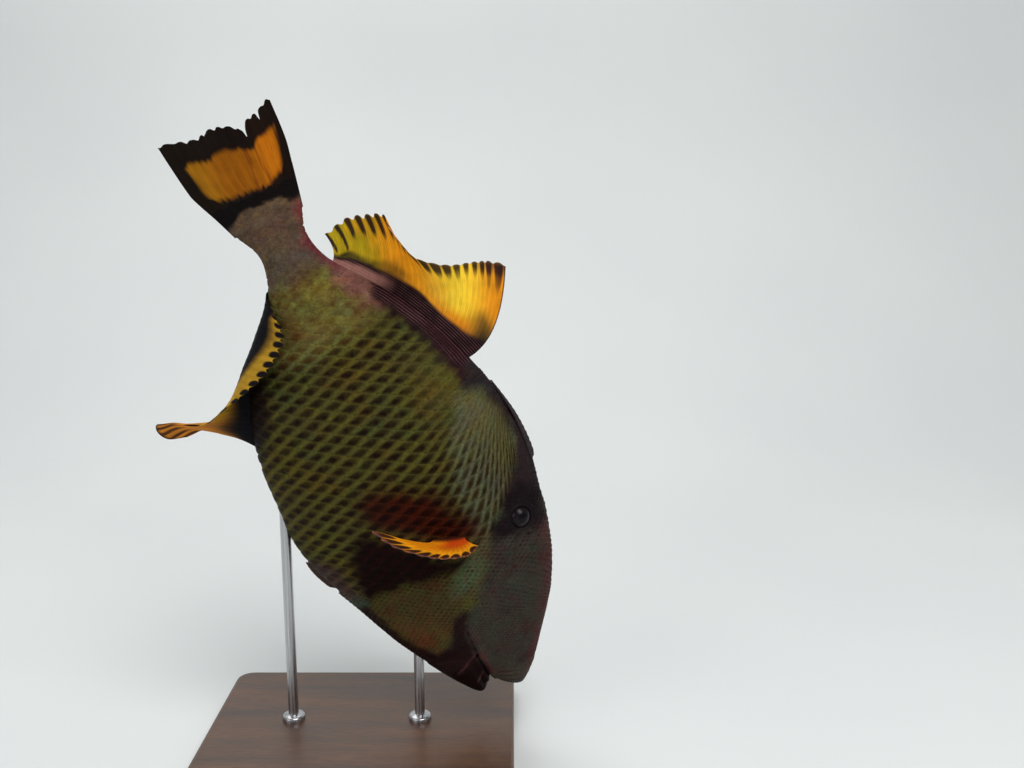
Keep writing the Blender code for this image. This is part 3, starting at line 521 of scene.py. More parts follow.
class Flank:
    """The body's left half as a sheet: s along the fish, w round it, up from its widest level."""

    def __init__(self):
        self.s = np.linspace(BODY_FRONT, SKIN_REAR, FLANK_RINGS)
        angle = np.linspace(math.pi / 2, -math.pi / 2, SECTION_ANGLES)
        h, y = body_ring(self.s[:, None], angle[None, :])
        step = np.hypot(np.diff(h, axis=1), np.diff(y, axis=1))
        run = np.concatenate((np.zeros((len(self.s), 1)), np.cumsum(step, axis=1)), axis=1)
        self.girth_up = run[:, SECTION_ANGLES // 2]
        self.girth_down = run[:, -1] - self.girth_up
        self.v = np.linspace(1, -1, FLANK_POINTS)
        heights = np.empty((len(self.s), FLANK_POINTS))
        widths = np.empty_like(heights)
        for i, (up, down) in enumerate(zip(self.girth_up, self.girth_down)):
            wanted = np.where(self.v > 0, up * (1 - self.v), up - self.v * down)
            heights[i] = np.interp(wanted, run[i], h[i])
            widths[i] = np.interp(wanted, run[i], y[i])
        widths[:, 0] = 0
        widths[:, -1] = 0
        self.points = place(self.s[:, None], heights, widths)
        along = np.gradient(self.points, axis=0)
        around = np.gradient(self.points, axis=1)
        normals = unit(np.cross(along, around))
        normals *= np.sign(np.median(normals[..., 1]))
        normals[:, (0, -1), 1] = 0
        self.normals = unit(normals)

    def girth(self, s, w):
        """Way round the body from its widest level to the back, or to the belly where w is below 0."""
        return np.where(w > 0, np.interp(s, self.s, self.girth_up), np.interp(s, self.s, self.girth_down))

    def at(self, s, w):
        """Positions and outward normals at arrays of s and w."""
        v = np.clip(w / self.girth(s, w), -1, 1)
        row = np.clip((s - self.s[0]) / (self.s[-1] - self.s[0]) * (len(self.s) - 1), 0, len(self.s) - 1.001)
        column = np.clip((1 - v) / 2 * (FLANK_POINTS - 1), 0, FLANK_POINTS - 1.001)
        i, j = row.astype(int), column.astype(int)
        fi, fj = (row - i)[..., None], (column - j)[..., None]
        found = []
        for grid in (self.points, self.normals):
            found.append(
                (grid[i, j] * (1 - fi) + grid[i + 1, j] * fi) * (1 - fj)
                + (grid[i, j + 1] * (1 - fi) + grid[i + 1, j + 1] * fi) * fj
            )
        return found[0], unit(found[1])


flank = Flank()


def mirrored(points):
    return points * np.array((1, -1, 1))


def grid_faces(rows, columns, closed=False, offset=0):
    """Quads over a grid of points stored row by row."""
    i, j = np.meshgrid(np.arange(rows - 1), np.arange(columns if closed else columns - 1), indexing="ij")
    k = (j + 1) % columns
    corners = (i * columns + j, i * columns + k, (i + 1) * columns + k, (i + 1) * columns + j)
    return np.stack([corner.ravel() for corner in corners], -1) + offset


def linked(name, data):
    """A new object in the scene that shows a mesh, a light or a camera."""
    made = bpy.data.objects.new(name, data)
    bpy.context.scene.collection.objects.link(made)
    return made


def mesh_object(name, points, faces, material=None):
    mesh = bpy.data.meshes.new(name)
    mesh.from_pydata(points.reshape(-1, 3).tolist(), [], faces if isinstance(faces, list) else faces.tolist())
    mesh.shade_smooth()
    if material:
        mesh.materials.append(material)
    return linked(name, mesh)


def on_side(side, points, faces):
    """Points and faces of a shape on the left or right side; the faces given suit the right."""
    return (mirrored(points), faces) if side == "right" else (points, faces[:, ::-1])


def folded_left(points):
    """Points with those of the right side mirrored onto the left."""
    return np.stack((points[:, 0], np.abs(points[:, 1]), points[:, 2]), 1)


def declare(made, slot, *nodes):
    """Hides the solids that a piece replaces; every piece rides the root. The slot is not used."""
    if nodes:
        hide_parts(*nodes)
    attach(made, "root")


def set_attribute(made, name, values):
    """Writes a number or a colour for each point of a mesh."""
    kind = "FLOAT" if values.ndim == 1 else "FLOAT_COLOR"
    attribute = made.data.attributes.new(name, kind, "POINT")
    if kind == "FLOAT":
        attribute.data.foreach_set("value", values.astype(np.float32))
    else:
        padded = np.concatenate((values, np.ones((len(values), 1))), 1)
        attribute.data.foreach_set("color", padded.astype(np.float32).ravel())


def mesh_points(made, kind="co"):
    """Places of a mesh's points, or their normals where the kind is "normal"."""
    values = np.empty(len(made.data.vertices) * 3, np.float32)
    made.data.vertices.foreach_get(kind, values)
    return values.reshape(-1, 3).astype(float)


def move_points(made, points):
    made.data.vertices.foreach_set("co", points.astype(np.float32).ravel())
    made.data.update()


def markings(points):
    """Colours between the scales and in their middles, at points of the body."""
    s, h, y = to_fish(points)
    uneven = 0.004 * grain(points, 0.012) + 0.0018 * grain(points, 0.004)
    light = np.broadcast_to(FLANK_LIGHT, points.shape).copy()
    dark = np.broadcast_to(FLANK_DARK, points.shape).copy()
    for zone_light, zone_dark, blur, outline in ZONES:
        weight = smooth_step(-blur, blur, depth_inside(s, h, outline) + uneven)[..., None]
        light = mix(light, zone_light, weight)
        dark = mix(dark, zone_dark, weight)
    return light, dark


def colour_body(made, core, tone=None, tone_colour=None, crease=None):
    """Writes the colours of a body mesh; tone varies its light colour, crease tints raised folds."""
    points = mesh_points(made)
    light, dark = markings(points)
    if tone is not None:
        light = light * (1 + tone[:, None] * tone_colour)
    if crease is not None:
        light = mix(light, CREASE_TINT, 0.8 * crease[:, None])
        dark = mix(dark, CREASE_TINT, 0.6 * crease[:, None])
    s, h, y = to_fish(points)
    mottled = smooth_step(0.365, 0.400, s + 0.25 * np.maximum(h, 0) + 0.008 * grain(points, 0.015))
    blotches = 0.5 + 0.55 * grain(points * 1.3, 0.009) + 0.25 * grain(points, 0.004)
    core = np.clip(mix(core, mix(blotches, core, 0.25), mottled), 0, 1)
    set_attribute(made, "light", light)
    set_attribute(made, "dark", dark)
    set_attribute(made, "core", core)
    below_back = curve(TOP, s) - h
    set_attribute(made, "fold", below_back / SHEATH_PITCH + 0.45 * grain(points, 0.016))
    near_fin = smooth_step(0.300, 0.315, s) * smooth_step(0.452, 0.440, s)
    set_attribute(made, "fold_share", near_fin * smooth_step(0.015, 0.010, below_back))


class Nodes:
    """Short ways to add and link the nodes of one material."""

    def __init__(self, name):
        self.material = bpy.data.materials.new(name)
        self.material.use_nodes = True
        self.tree = self.material.node_tree
        self.shader = self.tree.nodes["Principled BSDF"]

    def add(self, kind, **inputs):
        """A node with its inputs set to values or linked from other nodes' outputs."""
        node = self.tree.nodes.new(kind)
        self.feed(node, inputs)
        return node

    def put(self, socket, value):
        """Links a socket to another node's output or sets its value; a colour gets full opacity."""
        if isinstance(value, bpy.types.NodeSocket):
            self.tree.links.new(value, socket)
        else:
            socket.default_value = (*value, 1.0) if socket.type == "RGBA" else value

    def feed(self, node, inputs):
        for name, value in inputs.items():
            self.put(node.inputs[name.replace("_", " ")], value)

    def attribute(self, name, output="Fac"):
        node = self.tree.nodes.new("ShaderNodeAttribute")
        node.attribute_name = name
        return node.outputs[output]

    def place(self):
        return self.tree.nodes.new("ShaderNodeTexCoord").outputs["Object"]

    def noise(self, scale, detail=3.0, vector=None):
        node = self.add("ShaderNodeTexNoise", Scale=scale, Detail=detail, Vector=vector or self.place())
        return node.outputs["Fac"]

    def mix_colours(self, share, a, b, blend="MIX"):
        node = self.tree.nodes.new("ShaderNodeMix")
        node.data_type = "RGBA"
        node.blend_type = blend
        for index, value in ((0, share), (6, a), (7, b)):
            self.put(node.inputs[index], value)
        return node.outputs[2]

    def math(self, operation, a, b=0.0, c=0.0):
        node = self.tree.nodes.new("ShaderNodeMath")
        node.operation = operation
        for socket, value in zip(node.inputs, (a, b, c)):
            self.put(socket, value)
        return node.outputs[0]

    def grey(self, value):
        return self.add("ShaderNodeCombineColor", Red=value, Green=value, Blue=value).outputs[0]

    def rescale(self, value, low, high, to_low=0.0, to_high=1.0):
        node = self.add(
            "ShaderNodeMapRange", Value=value, From_Min=low, From_Max=high, To_Min=to_low, To_Max=to_high
        )
        return node.outputs["Result"]

    def fold_line(self, low):
        """Weight of the lines in a fin's sheath, narrower where the low end of the wave is cut off."""
        wave = self.math("SINE", self.math("MULTIPLY", self.attribute("fold"), math.tau))
        return self.math("MULTIPLY", self.rescale(wave, low, 1.0), self.attribute("fold_share"))

    def bump(self, height, distance, strength=1.0, after=None):
        node = self.add("ShaderNodeBump", Height=height, Distance=distance, Strength=strength)
        if after:
            self.put(node.inputs["Normal"], after)
        return node.outputs["Normal"]

    def finish(self, colour, roughness, normal=None, **shader):
        self.feed(self.shader, {"Base Color": colour, "Roughness": roughness, **shader})
        if normal:
            self.put(self.shader.inputs["Normal"], normal)
        return self.material


def skin_material(name, tubercle, tubercle_depth):
    """Scaly skin: light margins and dark middles from the markings, mottled, with fine tubercles."""
    n = Nodes(name)
    # The core attribute carries the scales' dark middles and also painted shade, in the skin's creases and
    # pits and along each large scale
    core = n.math("MULTIPLY", n.attribute("core"), n.rescale(n.noise(160), 0.3, 0.7, 0.80, 1.12))
    base = n.mix_colours(core, n.attribute("light", "Color"), n.attribute("dark", "Color"))
    patches = n.rescale(n.noise(45, 4), 0.32, 0.68)
    cast = n.mix_colours(patches, (0.52, 0.38, 0.36), (0.46, 0.55, 0.42))
    base = n.mix_colours(0.60, base, cast, "OVERLAY")
    specks = n.rescale(n.noise(420, 2), 0.35, 0.65, 0.82 * SKIN_TONE, 1.16 * SKIN_TONE)
    base = n.mix_colours(1.0, base, n.grey(specks), "MULTIPLY")
    line = n.fold_line(0.1)
    faint = n.rescale(n.noise(55, 2), 0.35, 0.65, 0.12, 0.62)
    base = n.mix_colours(n.math("MULTIPLY", line, faint), base, rgb(120, 84, 88))
    cells = n.add("ShaderNodeTexVoronoi", Scale=1.0 / tubercle, Vector=n.place())
    lumps = n.bump(n.rescale(cells.outputs["Distance"], 0.0, 0.7, 1.0, 0.0), tubercle_depth)
    folds = n.bump(line, 0.0004, 1.0, lumps)
    normal = n.bump(n.noise(900, 2), 0.00008, 0.7, folds)
    roughness = n.rescale(n.noise(220), 0.3, 0.7, 0.42, 0.60)
    return n.finish(base, roughness, normal, Specular_IOR_Level=0.05)


def lip_rings(s, low, high, level, width, low_power):
    """Rings of a lip for arrays of values along it; sections below the level are as full as the power."""
    sine, cosine = np.sin(circle(LIP_POINTS)), np.cos(circle(LIP_POINTS))
    s, low, high, level, width = (value[:, None] for value in (s, low, high, level, width))
    edge = np.where(sine > 0, high, low)
    power = np.where(sine > 0, 1.0, low_power)
    y = np.copysign(width * np.abs(cosine) ** power, cosine)
    return place(s, level + (edge - level) * np.abs(sine), y)


def closed_loft(rings):
    """Points and faces of a closed tube through rings of points, with flat ends."""
    rows, columns = rings.shape[:2]
    faces = grid_faces(rows, columns, closed=True).tolist()
    faces.append(list(range(columns)))
    faces.append(list(range((rows - 1) * columns, rows * columns)))
    return rings.reshape(-1, 3), faces


def body_rings():
    """Rings of the whole body, drawn in by the coat's depth."""
    keep = flank.s <= BODY_REAR + 0.004
    left = flank.points[keep] - flank.normals[keep] * COAT_DEPTH
    right = mirrored(left)[:, -2:0:-1]
    return np.concatenate((left, right), axis=1)


def upper_lip_rings():
    tip_s, tip_h = UPPER_LIP_TIP
    high_root = curve(TOP, BODY_FRONT)
    u = np.sin(0.5 * math.pi * np.arange(LIP_RINGS) / LIP_RINGS)
    high = tip_h + (high_root - tip_h) * (1 - u) ** 0.85
    low = tip_h + (MOUTH_CORNER[1] - tip_h) * (1 - u**1.3) ** 0.75
    width = curve(HALF_WIDTH, BODY_FRONT) * (1 - u**1.9) ** 0.58
    level = mix(UPPER_LIP_LEVEL, tip_h, u)
    rings = lip_rings(mix(BODY_FRONT, tip_s, u), low, high, level, width, UPPER_LIP_FULLNESS)
    inner = (BODY_FRONT + LIP_ROOT_DEPTH, MOUTH_CORNER[1], high_root, UPPER_LIP_LEVEL, LIP_ROOT_HALF_WIDTH)
    inner = lip_rings(*(np.array([value]) for value in inner), UPPER_LIP_FULLNESS)
    return np.concatenate((inner, rings))


def lower_jaw_rings():
    tip_s, tip_h = LOWER_JAW_TIP
    low_root = curve(BOTTOM, LOWER_JAW_ROOT)
    u = np.sin(0.5 * math.pi * np.arange(LIP_RINGS) / LIP_RINGS)
    high = tip_h + (LOWER_JAW_TOP - tip_h) * (1 - u**3.2) ** 0.6
    low = tip_h + (low_root - tip_h) * (1 - u) ** 0.90
    width = LOWER_JAW_HALF_WIDTH * (1 - u**2.4) ** 0.55
    level = mix(LOWER_JAW_LEVEL, tip_h, u)
    return lip_rings(mix(LOWER_JAW_ROOT, tip_s, u), high, low, level, width, LOWER_JAW_FULLNESS)


def closed_lofts(rings_of_each):
    """Points and faces of several closed tubes as one mesh."""
    points, faces, count = [], [], 0
    for loft_points, loft_faces in map(closed_loft, rings_of_each):
        points.append(loft_points)
        faces += [[index + count for index in face] for face in loft_faces]
        count += len(loft_points)
    return np.concatenate(points), faces


def fused(name, rings_of_each, voxel):
    """One skin round several closed tubes that run into each other."""
    raw = mesh_object(name + "_raw", *closed_lofts(rings_of_each))
    check = bmesh.new()
    check.from_mesh(raw.data)
    bmesh.ops.recalc_face_normals(check, faces=check.faces[:])
    check.to_mesh(raw.data)
    check.free()
    remesh = raw.modifiers.new("remesh", "REMESH")
    remesh.mode = "VOXEL"
    remesh.voxel_size = voxel
    bpy.context.view_layer.update()
    mesh = bpy.data.meshes.new_from_object(raw.evaluated_get(bpy.context.evaluated_depsgraph_get()))
    bpy.data.objects.remove(raw)
    mesh.name = name
    mesh.shade_smooth()
    return linked(name, mesh)


def relax(made, weights, rounds):
    """Moves points towards their neighbours' mean, each by its weight, several times over."""
    edges = np.empty(len(made.data.edges) * 2, np.int32)
    made.data.edges.foreach_get("vertices", edges)
    a, b = edges.reshape(-1, 2).T
    points = mesh_points(made)
    count = np.bincount(a, minlength=len(points)) + np.bincount(b, minlength=len(points))
    for _ in range(rounds):
        total = np.zeros_like(points)
        for axis, at in enumerate(points.T):
            total[:, axis] = np.bincount(a, at[b], len(at)) + np.bincount(b, at[a], len(at))
        points += (total / count[:, None] - points) * weights[:, None]
    move_points(made, points)


def refine(made, chosen):
    """Halves the faces whose points are all chosen."""
    shape = bmesh.new()
    shape.from_mesh(made.data)
    edges = [edge for edge in shape.edges if all(chosen[vertex.index] for vertex in edge.verts)]
    bmesh.ops.subdivide_edges(shape, edges=edges, cuts=1, use_grid_fill=True)
    shape.to_mesh(made.data)
    shape.free()


def eye_frame():
    """Centre and outward direction of the left eye."""
    here, outward = left_surface(*EYE_AT)
    return here - outward * EYE_SINK, outward


def head_relief(points):
    """Depth of the head's creases and pits, inwards, the painted shade that each gets and how much each tints
    the skin.
    """
    s, h, y = to_fish(points)
    side = np.abs(y) > SIDE_FROM
    depth, dark, tint = np.zeros((3, len(points)))
    for start, end, deep, deep_end, width in FACE_FOLDS:
        fold, along = line_distance(s, h, start, end)
        strength = mix(deep, deep_end, along)
        depth += strength * gauss(fold, width)
        # Creases get painted shade that grows with their depth; raised folds get a tint
        if deep > 0:
            dark += np.clip(strength / FULL_SHADE_DEPTH, 0, 1) * gauss(fold, width * 1.1)
        else:
            fade = 1 - 0.5 * gauss(along - 1, 0.4)
            tint += np.clip(-strength / TINT_HEIGHT, 0, 1) * gauss(fold, width) * fade
    for start, end, deep, width, shade_share, shade_width in SIDE_CREASES:
        crease = line_distance(s, h, start, end)[0]
        depth += side * deep * gauss(crease, width)
        # Painted shade along the gill slit and the groove before the eye
        dark += side * shade_share * gauss(crease, shade_width)
    rim_height, rim_radius, rim_width = NOSTRIL_RIM
    for spot in NOSTRILS:
        away = np.hypot(s - spot[0], h - spot[1])
        pit = gauss(away, NOSTRIL_RADIUS)
        depth += side * (NOSTRIL_DEPTH * pit - rim_height * gauss(away - rim_radius, rim_width))
        # Painted shade in the nostril pits
        dark += side * pit
    centre, outward = eye_frame()
    reach = folded_left(points) - centre
    away = np.linalg.norm(reach - (reach @ outward)[:, None] * outward, axis=1)
    away -= math.sqrt(EYE_RADIUS**2 - EYE_SINK**2)
    for height, beyond, width in EYE_RINGS:
        depth -= side * height * gauss(away - beyond, width)
    depth += side * SOCKET_DEPTH * smooth_step(0.0006, -0.0012, away)
    # Painted shade in the crease round the eye's rim
    dark += side * 0.8 * gauss(away, 0.0010)
    furrow = spine_furrow(s, h, y)
    depth += FURROW_DEPTH * furrow
    # Painted shade in the furrows beside the folded spines
    dark += 0.8 * furrow
    return depth, np.clip(dark, 0, 1), np.clip(tint, 0, 1)


def spine_furrow(s, h, y):
    """Share of the furrows on both sides of the folded spines."""
    front, rear = SPINE_GROOVE
    along = np.clip((s - SPINES[0][0]) / (SPINES[0][1] - SPINES[0][0]), 0, 1)
    inside = smooth_step(front, front + 0.004, s) * smooth_step(rear, rear - 0.010, s)
    on_back = smooth_step(0.012, 0.006, curve(TOP, s) - h)
    return inside * on_back * gauss(np.abs(y) - mix(*FURROW_ASIDE, along), FURROW_WIDTH)


def make_skin(material):
    skin = fused("skin", (body_rings(), upper_lip_rings(), lower_jaw_rings()), VOXEL)
    s = to_fish(mesh_points(skin))[0]
    relax(skin, np.full(len(s), SMOOTHING), SMOOTHING_ROUNDS)
    relax(skin, LIP_SMOOTHING * smooth_step(*LIP_SMOOTHING_FADE, s), LIP_SMOOTHING_ROUNDS)
    s, h, y = to_fish(mesh_points(skin))
    refine(skin, (s < FINE_MOUTH[0]) & (h < FINE_MOUTH[1]))
    from_eye = np.linalg.norm(folded_left(mesh_points(skin)) - eye_frame()[0], axis=1)
    refine(skin, from_eye < FINE_ROUND_EYE)
    points = mesh_points(skin)
    depth, shade, tint = head_relief(points)
    s = to_fish(points)[0]
    under_scales = smooth_step(*SUNK_FRONT, s) * smooth_step(*SUNK_REAR, s)
    depth += mix(*SKIN_DEPTHS, under_scales) * (1 + grain(points, 0.018)) - 0.0001 * grain(points, 0.006)
    move_points(skin, points - mesh_points(skin, "normal") * depth[:, None])
    # The painted shade of the creases and pits sets how much of the dark colour shows on the skin
    colour_body(skin, np.maximum(smooth_step(0.0, 1.0, shade), LEAST_CORE), crease=tint)
    skin.data.materials.append(material)
    declare(skin, "skin_flank", "head", "torso", "tail_stem", "upper_lip", "lower_jaw")
    return skin


def lattice(first, second, reach):
    """Points i * first + j * second that lie within a reach of s and w."""
    low_s, high_s, low_w, high_w = reach
    count = np.arange(-260, 261)
    i, j = np.meshgrid(count, count, indexing="ij")
    points = i[..., None] * first + j[..., None] * second
    s, w = points[..., 0], points[..., 1]
    return points[(s >= low_s) & (s <= high_s) & (w >= low_w) & (w <= high_w)]


def scale_sheet(size_points, fan=False):
    """Turns evenly spread scale coordinates into s and w, where scales shrink along the fish."""
    s = np.linspace(BODY_FRONT, SKIN_REAR, 400)
    size = curve(size_points, s)
    even = np.concatenate(((0,), np.cumsum(0.5 * (1 / size[1:] + 1 / size[:-1]) * np.diff(s))))
    even += EVEN_AT - np.interp(EVEN_AT, s, even)
    along = ROW_STEP / np.linalg.norm(ROW_STEP)
    across = np.array((-along[1], along[0]))

    def real(points):
        spot = np.concatenate((points, 0 * points[..., :1]), -1)
        wander = [grain(spot + shift, 0.022) + 0.5 * grain(spot + shift, 0.009) for shift in (0.0, 0.5)]
        points = points + 0.0009 * np.stack(wander, -1)
        if fan:
            below = (FAN_AT - points) @ along
            aside = (points - FAN_AT) @ across
            narrow = mix(FAN_NARROWEST, 1.0, smooth_step(*FAN_REACH, below) ** 0.8)
            aside = np.where(aside > 0, aside * narrow, aside)
            points = FAN_AT - below[..., None] * along + aside[..., None] * across
        found = np.interp(points[..., 0], even, s)
        return found, points[..., 1] * curve(size_points, found)

    return real, (even[0], even[-1])


def scale_centres(real, first, second, reach, eye_gap):
    """Centres of scales clear of the eye and the bare lines, with their s, w and height on the fish."""
    centres = lattice(first, second, reach)
    s, w = real(centres)
    at = flank.at(s, w)[0]
    h = to_fish(at)[1]
    keep = (np.abs(w) < flank.girth(s, w)) & (depth_inside(s, h, BARE) < 0.001)
    keep &= np.linalg.norm(at - eye_frame()[0], axis=-1) > eye_gap
    return centres[keep], s[keep], w[keep], h[keep]


def plates(centres, first, second, cells, real, corner_power):
    """Points of plates spanned by two edge vectors: s and w, then the place on the plate, then faces."""
    steps = np.linspace(-1, 1, cells + 1)
    a, b = (grid.ravel() for grid in np.meshgrid(steps, steps, indexing="ij"))
    edge = np.maximum(np.abs(a), np.abs(b))
    round_edge = (np.abs(a) ** corner_power + np.abs(b) ** corner_power) ** (1 / corner_power)
    factor = np.where(edge > 0, edge / np.maximum(round_edge, 1e-9), 1.0)
    a, b = a * factor, b * factor
    s, w = real(centres[:, None, :] + 0.5 * (a[:, None] * first + b[:, None] * second)[None])
    cell_faces = grid_faces(cells + 1, cells + 1)
    faces = (cell_faces[None] + (np.arange(len(centres)) * len(a))[:, None, None]).reshape(-1, 4)
    return s, w, a, b, faces


def bake_map(made, s, w, a, b, faces):
    """UV map where each plate is a small patch at its root's place on the skin's unwrap."""
    root_u = MAP_MARGIN + MAP_SPAN * (s - BODY_FRONT) / (SKIN_REAR - BODY_FRONT)
    root_v = 0.5 + MAP_SPAN * w / MAP_GIRTH
    u = root_u[:, None] + MAP_PATCH * a[None]
    v = root_v[:, None] + MAP_PATCH * b[None]
    uv = np.stack((u.ravel(), v.ravel()), 1)[faces.ravel()]
    layer = made.data.uv_layers.new(name="OFBake")
    layer.data.foreach_set("uv", uv.astype(np.float32).ravel())


def both_sides(name, points, s, w, a, b, faces, core, tone, tone_colour, material, slot):
    """The same plates on the left and right of the fish, as two pieces."""
    for side in ("left", "right"):
        placed, side_faces = on_side(side, points, faces)
        made = mesh_object(name + "_" + side, placed, side_faces, material)
        colour_body(made, core.ravel(), tone.ravel(), tone_colour)
        bake_map(made, s, w, a, b, side_faces)
        declare(made, slot)


def make_flank_scales(material):
    """The large diamond scales of both flanks, from behind the head to the tail fin's root."""
    real, span = scale_sheet(SCALE_SIZE, fan=True)
    reach = (*span, -SCALES_REACH, SCALES_REACH)
    centres, s, w, h = scale_centres(real, ROW_STEP, CROSS_STEP, reach, SCALE_EYE_GAP)
    keep = (s > curve(FLANK_START, h)) & (s < SCALES_END)
    centres, s, w = centres[keep], s[keep], w[keep]
    point_s, point_w, a, b, faces = plates(
        centres, ROW_STEP, CROSS_STEP, SCALE_CELLS, real, SCALE_CORNERS
    )
    base, normal = flank.at(point_s, point_w)
    dome = (1 - np.abs(a) ** 3) * (1 - np.abs(b) ** 3) * (0.80 + 0.20 * np.abs(b))
    dome = dome * smooth_step(0.002, 0.014, flank.girth(point_s, point_w) - np.abs(point_w))
    size = curve(SCALE_SIZE, s)[:, None]
    uneven = 1 + 0.25 * grain(base, 0.010)
    points = base + normal * (dome * size**1.5 * SCALE_RISE * uneven + 0.0001 - COAT_DEPTH)[..., None]
    from_fan = np.hypot(point_s - FAN_AT[0], point_w - FAN_AT[1])
    width = mix(0.42, 0.72, smooth_step(0.0, 0.09, from_fan))
    row = smooth_step(0.95, 0.25, np.abs(b + 0.08) / (width + 0.28))
    crescent = smooth_step(0.55, 0.95, np.abs(a + 0.20 * b * b - 0.05))
    core = row * (1 - mix(0.42, 0.60, smooth_step(0.27, 0.35, point_s)) * crescent)
    # Painted shade: each large scale's dark middle is strongest where a is low and fades towards the other
    # end, like the shade of overlapping scales
    core = core * (1 - 0.34 * smooth_step(-0.3, 0.8, a))
    core = (1 - (1 - core) ** 1.35) * mix(0.25, 1.0, smooth_step(0.01, 0.085, from_fan))
    each = np.random.RandomState(5).uniform(-1, 1, len(s))[:, None]
    tone = 0.55 * each + 0.9 * grain(base, 0.030) + 0.4 * grain(base, 0.007)
    both_sides("scales", points, s, w, a, b, faces, core, tone, FLANK_TONE, material, "skin_flank")


def make_head_scales(material, skin):
    """The small scales of the head, back and chest, laid on the skin itself."""
    real, span = scale_sheet(HEAD_SCALE_SIZE)
    reach = (span[0], HEAD_SCALES_END, -HEAD_SCALES_REACH, HEAD_SCALES_REACH)
    centres, s, w, h = scale_centres(real, HEAD_ROW_STEP, HEAD_CROSS_STEP, reach, HEAD_SCALE_EYE_GAP)
    behind_lips = (s > mix(0.046, 0.016, smooth_step(0.006, 0.04, h))) & ~((s < 0.058) & (h < 0.004))
    by_spines = (np.abs(s - 0.240) < 0.050) & (flank.girth(s, w) - w < 0.008)
    keep = behind_lips & ~by_spines & (s < curve(FLANK_START, h) + 0.004)
    for start, end, clear in CLEAR_LINES:
        keep &= line_distance(s, h, start, end)[0] > clear
    centres, s, w = centres[keep], s[keep], w[keep]
    edges = (HEAD_ROW_STEP * HEAD_SCALE_SHARE, HEAD_CROSS_STEP * HEAD_SCALE_SHARE)
    point_s, point_w, a, b, faces = plates(centres, *edges, HEAD_CELLS, real, HEAD_SCALE_CORNERS)
    base, normal = flank.at(point_s, point_w)
    tree = BVHTree.FromObject(skin, bpy.context.evaluated_depsgraph_get())
    ground = [tree.find_nearest(Vector(point))[0] for point in base.reshape(-1, 3)]
    ground = np.array(ground).reshape(base.shape)
    dome = (1 - np.abs(a) ** 3.5) * (1 - np.abs(b) ** 3.5)
    size = curve(HEAD_SCALE_SIZE, s)[:, None]
    points = ground + normal * (dome * (0.4 + 0.6 * size) * HEAD_SCALE_RISE - 0.00008)[..., None]
    strength = 0.72 + 0.45 * grain(base, 0.006)
    core = np.clip(smooth_step(1.00, 0.30, np.hypot(a, b)) * strength, 0, 1)
    tone = 0.7 * grain(base, 0.016) + 0.7 * grain(base, 0.005)
    both_sides("small_scales", points, s, w, a, b, faces, core, tone, HEAD_TONE, material, "skin_head")


def fin_grid(point, rays, lobes, per_ray, rows, scallop):
    """Grid of a fin's middle sheet: positions, normals, share across from 0 to 1 and share of length."""
    t = np.linspace(0, 1, rays * per_ray + 1)
    between = 0.5 - 0.5 * np.cos(math.tau * lobe_phase(t, lobes))
    reach = 1 - scallop(t) * between**1.5
    u = np.linspace(0, 1, rows)[None, :] * reach[:, None]
    t = np.broadcast_to(t[:, None], u.shape)
    middle = point(t, u)
    normals = unit(np.cross(np.gradient(middle, axis=0), np.gradient(middle, axis=1)))
    return middle, normals, t, u


def lobe_phase(t, lobes):
    """Place across a fin counted in lobes of its margin, whole at each lobe's middle; wider in front."""
    return lobes * t**1.2 - 0.5


def ray_height(phase, u):
    """Height from 0 to 1 of a ray that forks twice on its way to the margin."""
    offset = phase - np.round(phase)
    first = 0.13 * smooth_step(0.30, 0.75, u)
    second = 0.08 * smooth_step(0.60, 1.00, u)
    width = mix(0.17, 0.07, smooth_step(0.2, 0.9, u))
    height = np.zeros(np.shape(u))
    for sign_one in (-1, 1):
        for sign_two in (-1, 1):
            height = np.maximum(height, gauss(offset - sign_one * first - sign_two * second, width))
    return height


def even_scallop(t):
    return np.full(np.shape(t), EVEN_SCALLOP)


def make_fin(
    name, node, point, rays, lobes, colour, root, material,
    per_ray=12, rows=64, scallop=even_scallop, sheath=0.0, folds=0.0, flip=False,
):
    """A fin as one closed sheet with forked rays raised on both faces, coloured from its own grid."""
    middle, normals, t, u = fin_grid(point, rays, lobes, per_ray, rows, scallop)
    beyond = smooth_step(sheath, sheath + 0.12, u)
    ridge = ray_height(t * rays - 0.5, u) * beyond
    joints = 0.5 + 0.5 * np.cos(u * RAY_JOINTS)
    rise = RAY_RISE * ridge * (1 - 0.6 * u) * (1 - 0.15 * joints * smooth_step(0.3, 0.5, u))
    half = MEMBRANE_HALF * mix(1.0, 0.7, u) + rise + root(t, u, middle)
    ripple = RIPPLE * grain(middle, 0.012) * smooth_step(0.2, 0.8, u)
    middle = middle + normals * ripple[..., None]
    points = np.stack((middle + normals * half[..., None], middle - normals * half[..., None])).reshape(-1, 3)
    grid = np.arange(u.size).reshape(u.shape)
    faces = [grid_faces(*u.shape), grid_faces(*u.shape, offset=u.size)[:, ::-1]]
    for rim in (grid[:, 0][::-1], grid[:, -1], grid[0], grid[-1][::-1]):
        faces.append(np.stack((rim[:-1], rim[1:], rim[1:] + u.size, rim[:-1] + u.size), 1)[:, ::-1])
    faces = np.concatenate(faces)
    if flip:
        points = mirrored(points)
        faces = faces[:, ::-1]
    made = mesh_object(name, points, faces, material)
    set_attribute(made, "tint", np.tile(colour(t, u, lobe_phase(t, lobes), middle).reshape(-1, 3), (2, 1)))
    fold = np.linalg.norm(middle - middle[:, :1], axis=-1) / SHEATH_PITCH
    values = {"ridge": ridge, "along": u, "across": t, "fold": fold, "fold_share": (1 - beyond) * folds}
    for label, value in values.items():
        set_attribute(made, label, np.tile(value.ravel(), 2))
    declare(made, "fins", node)


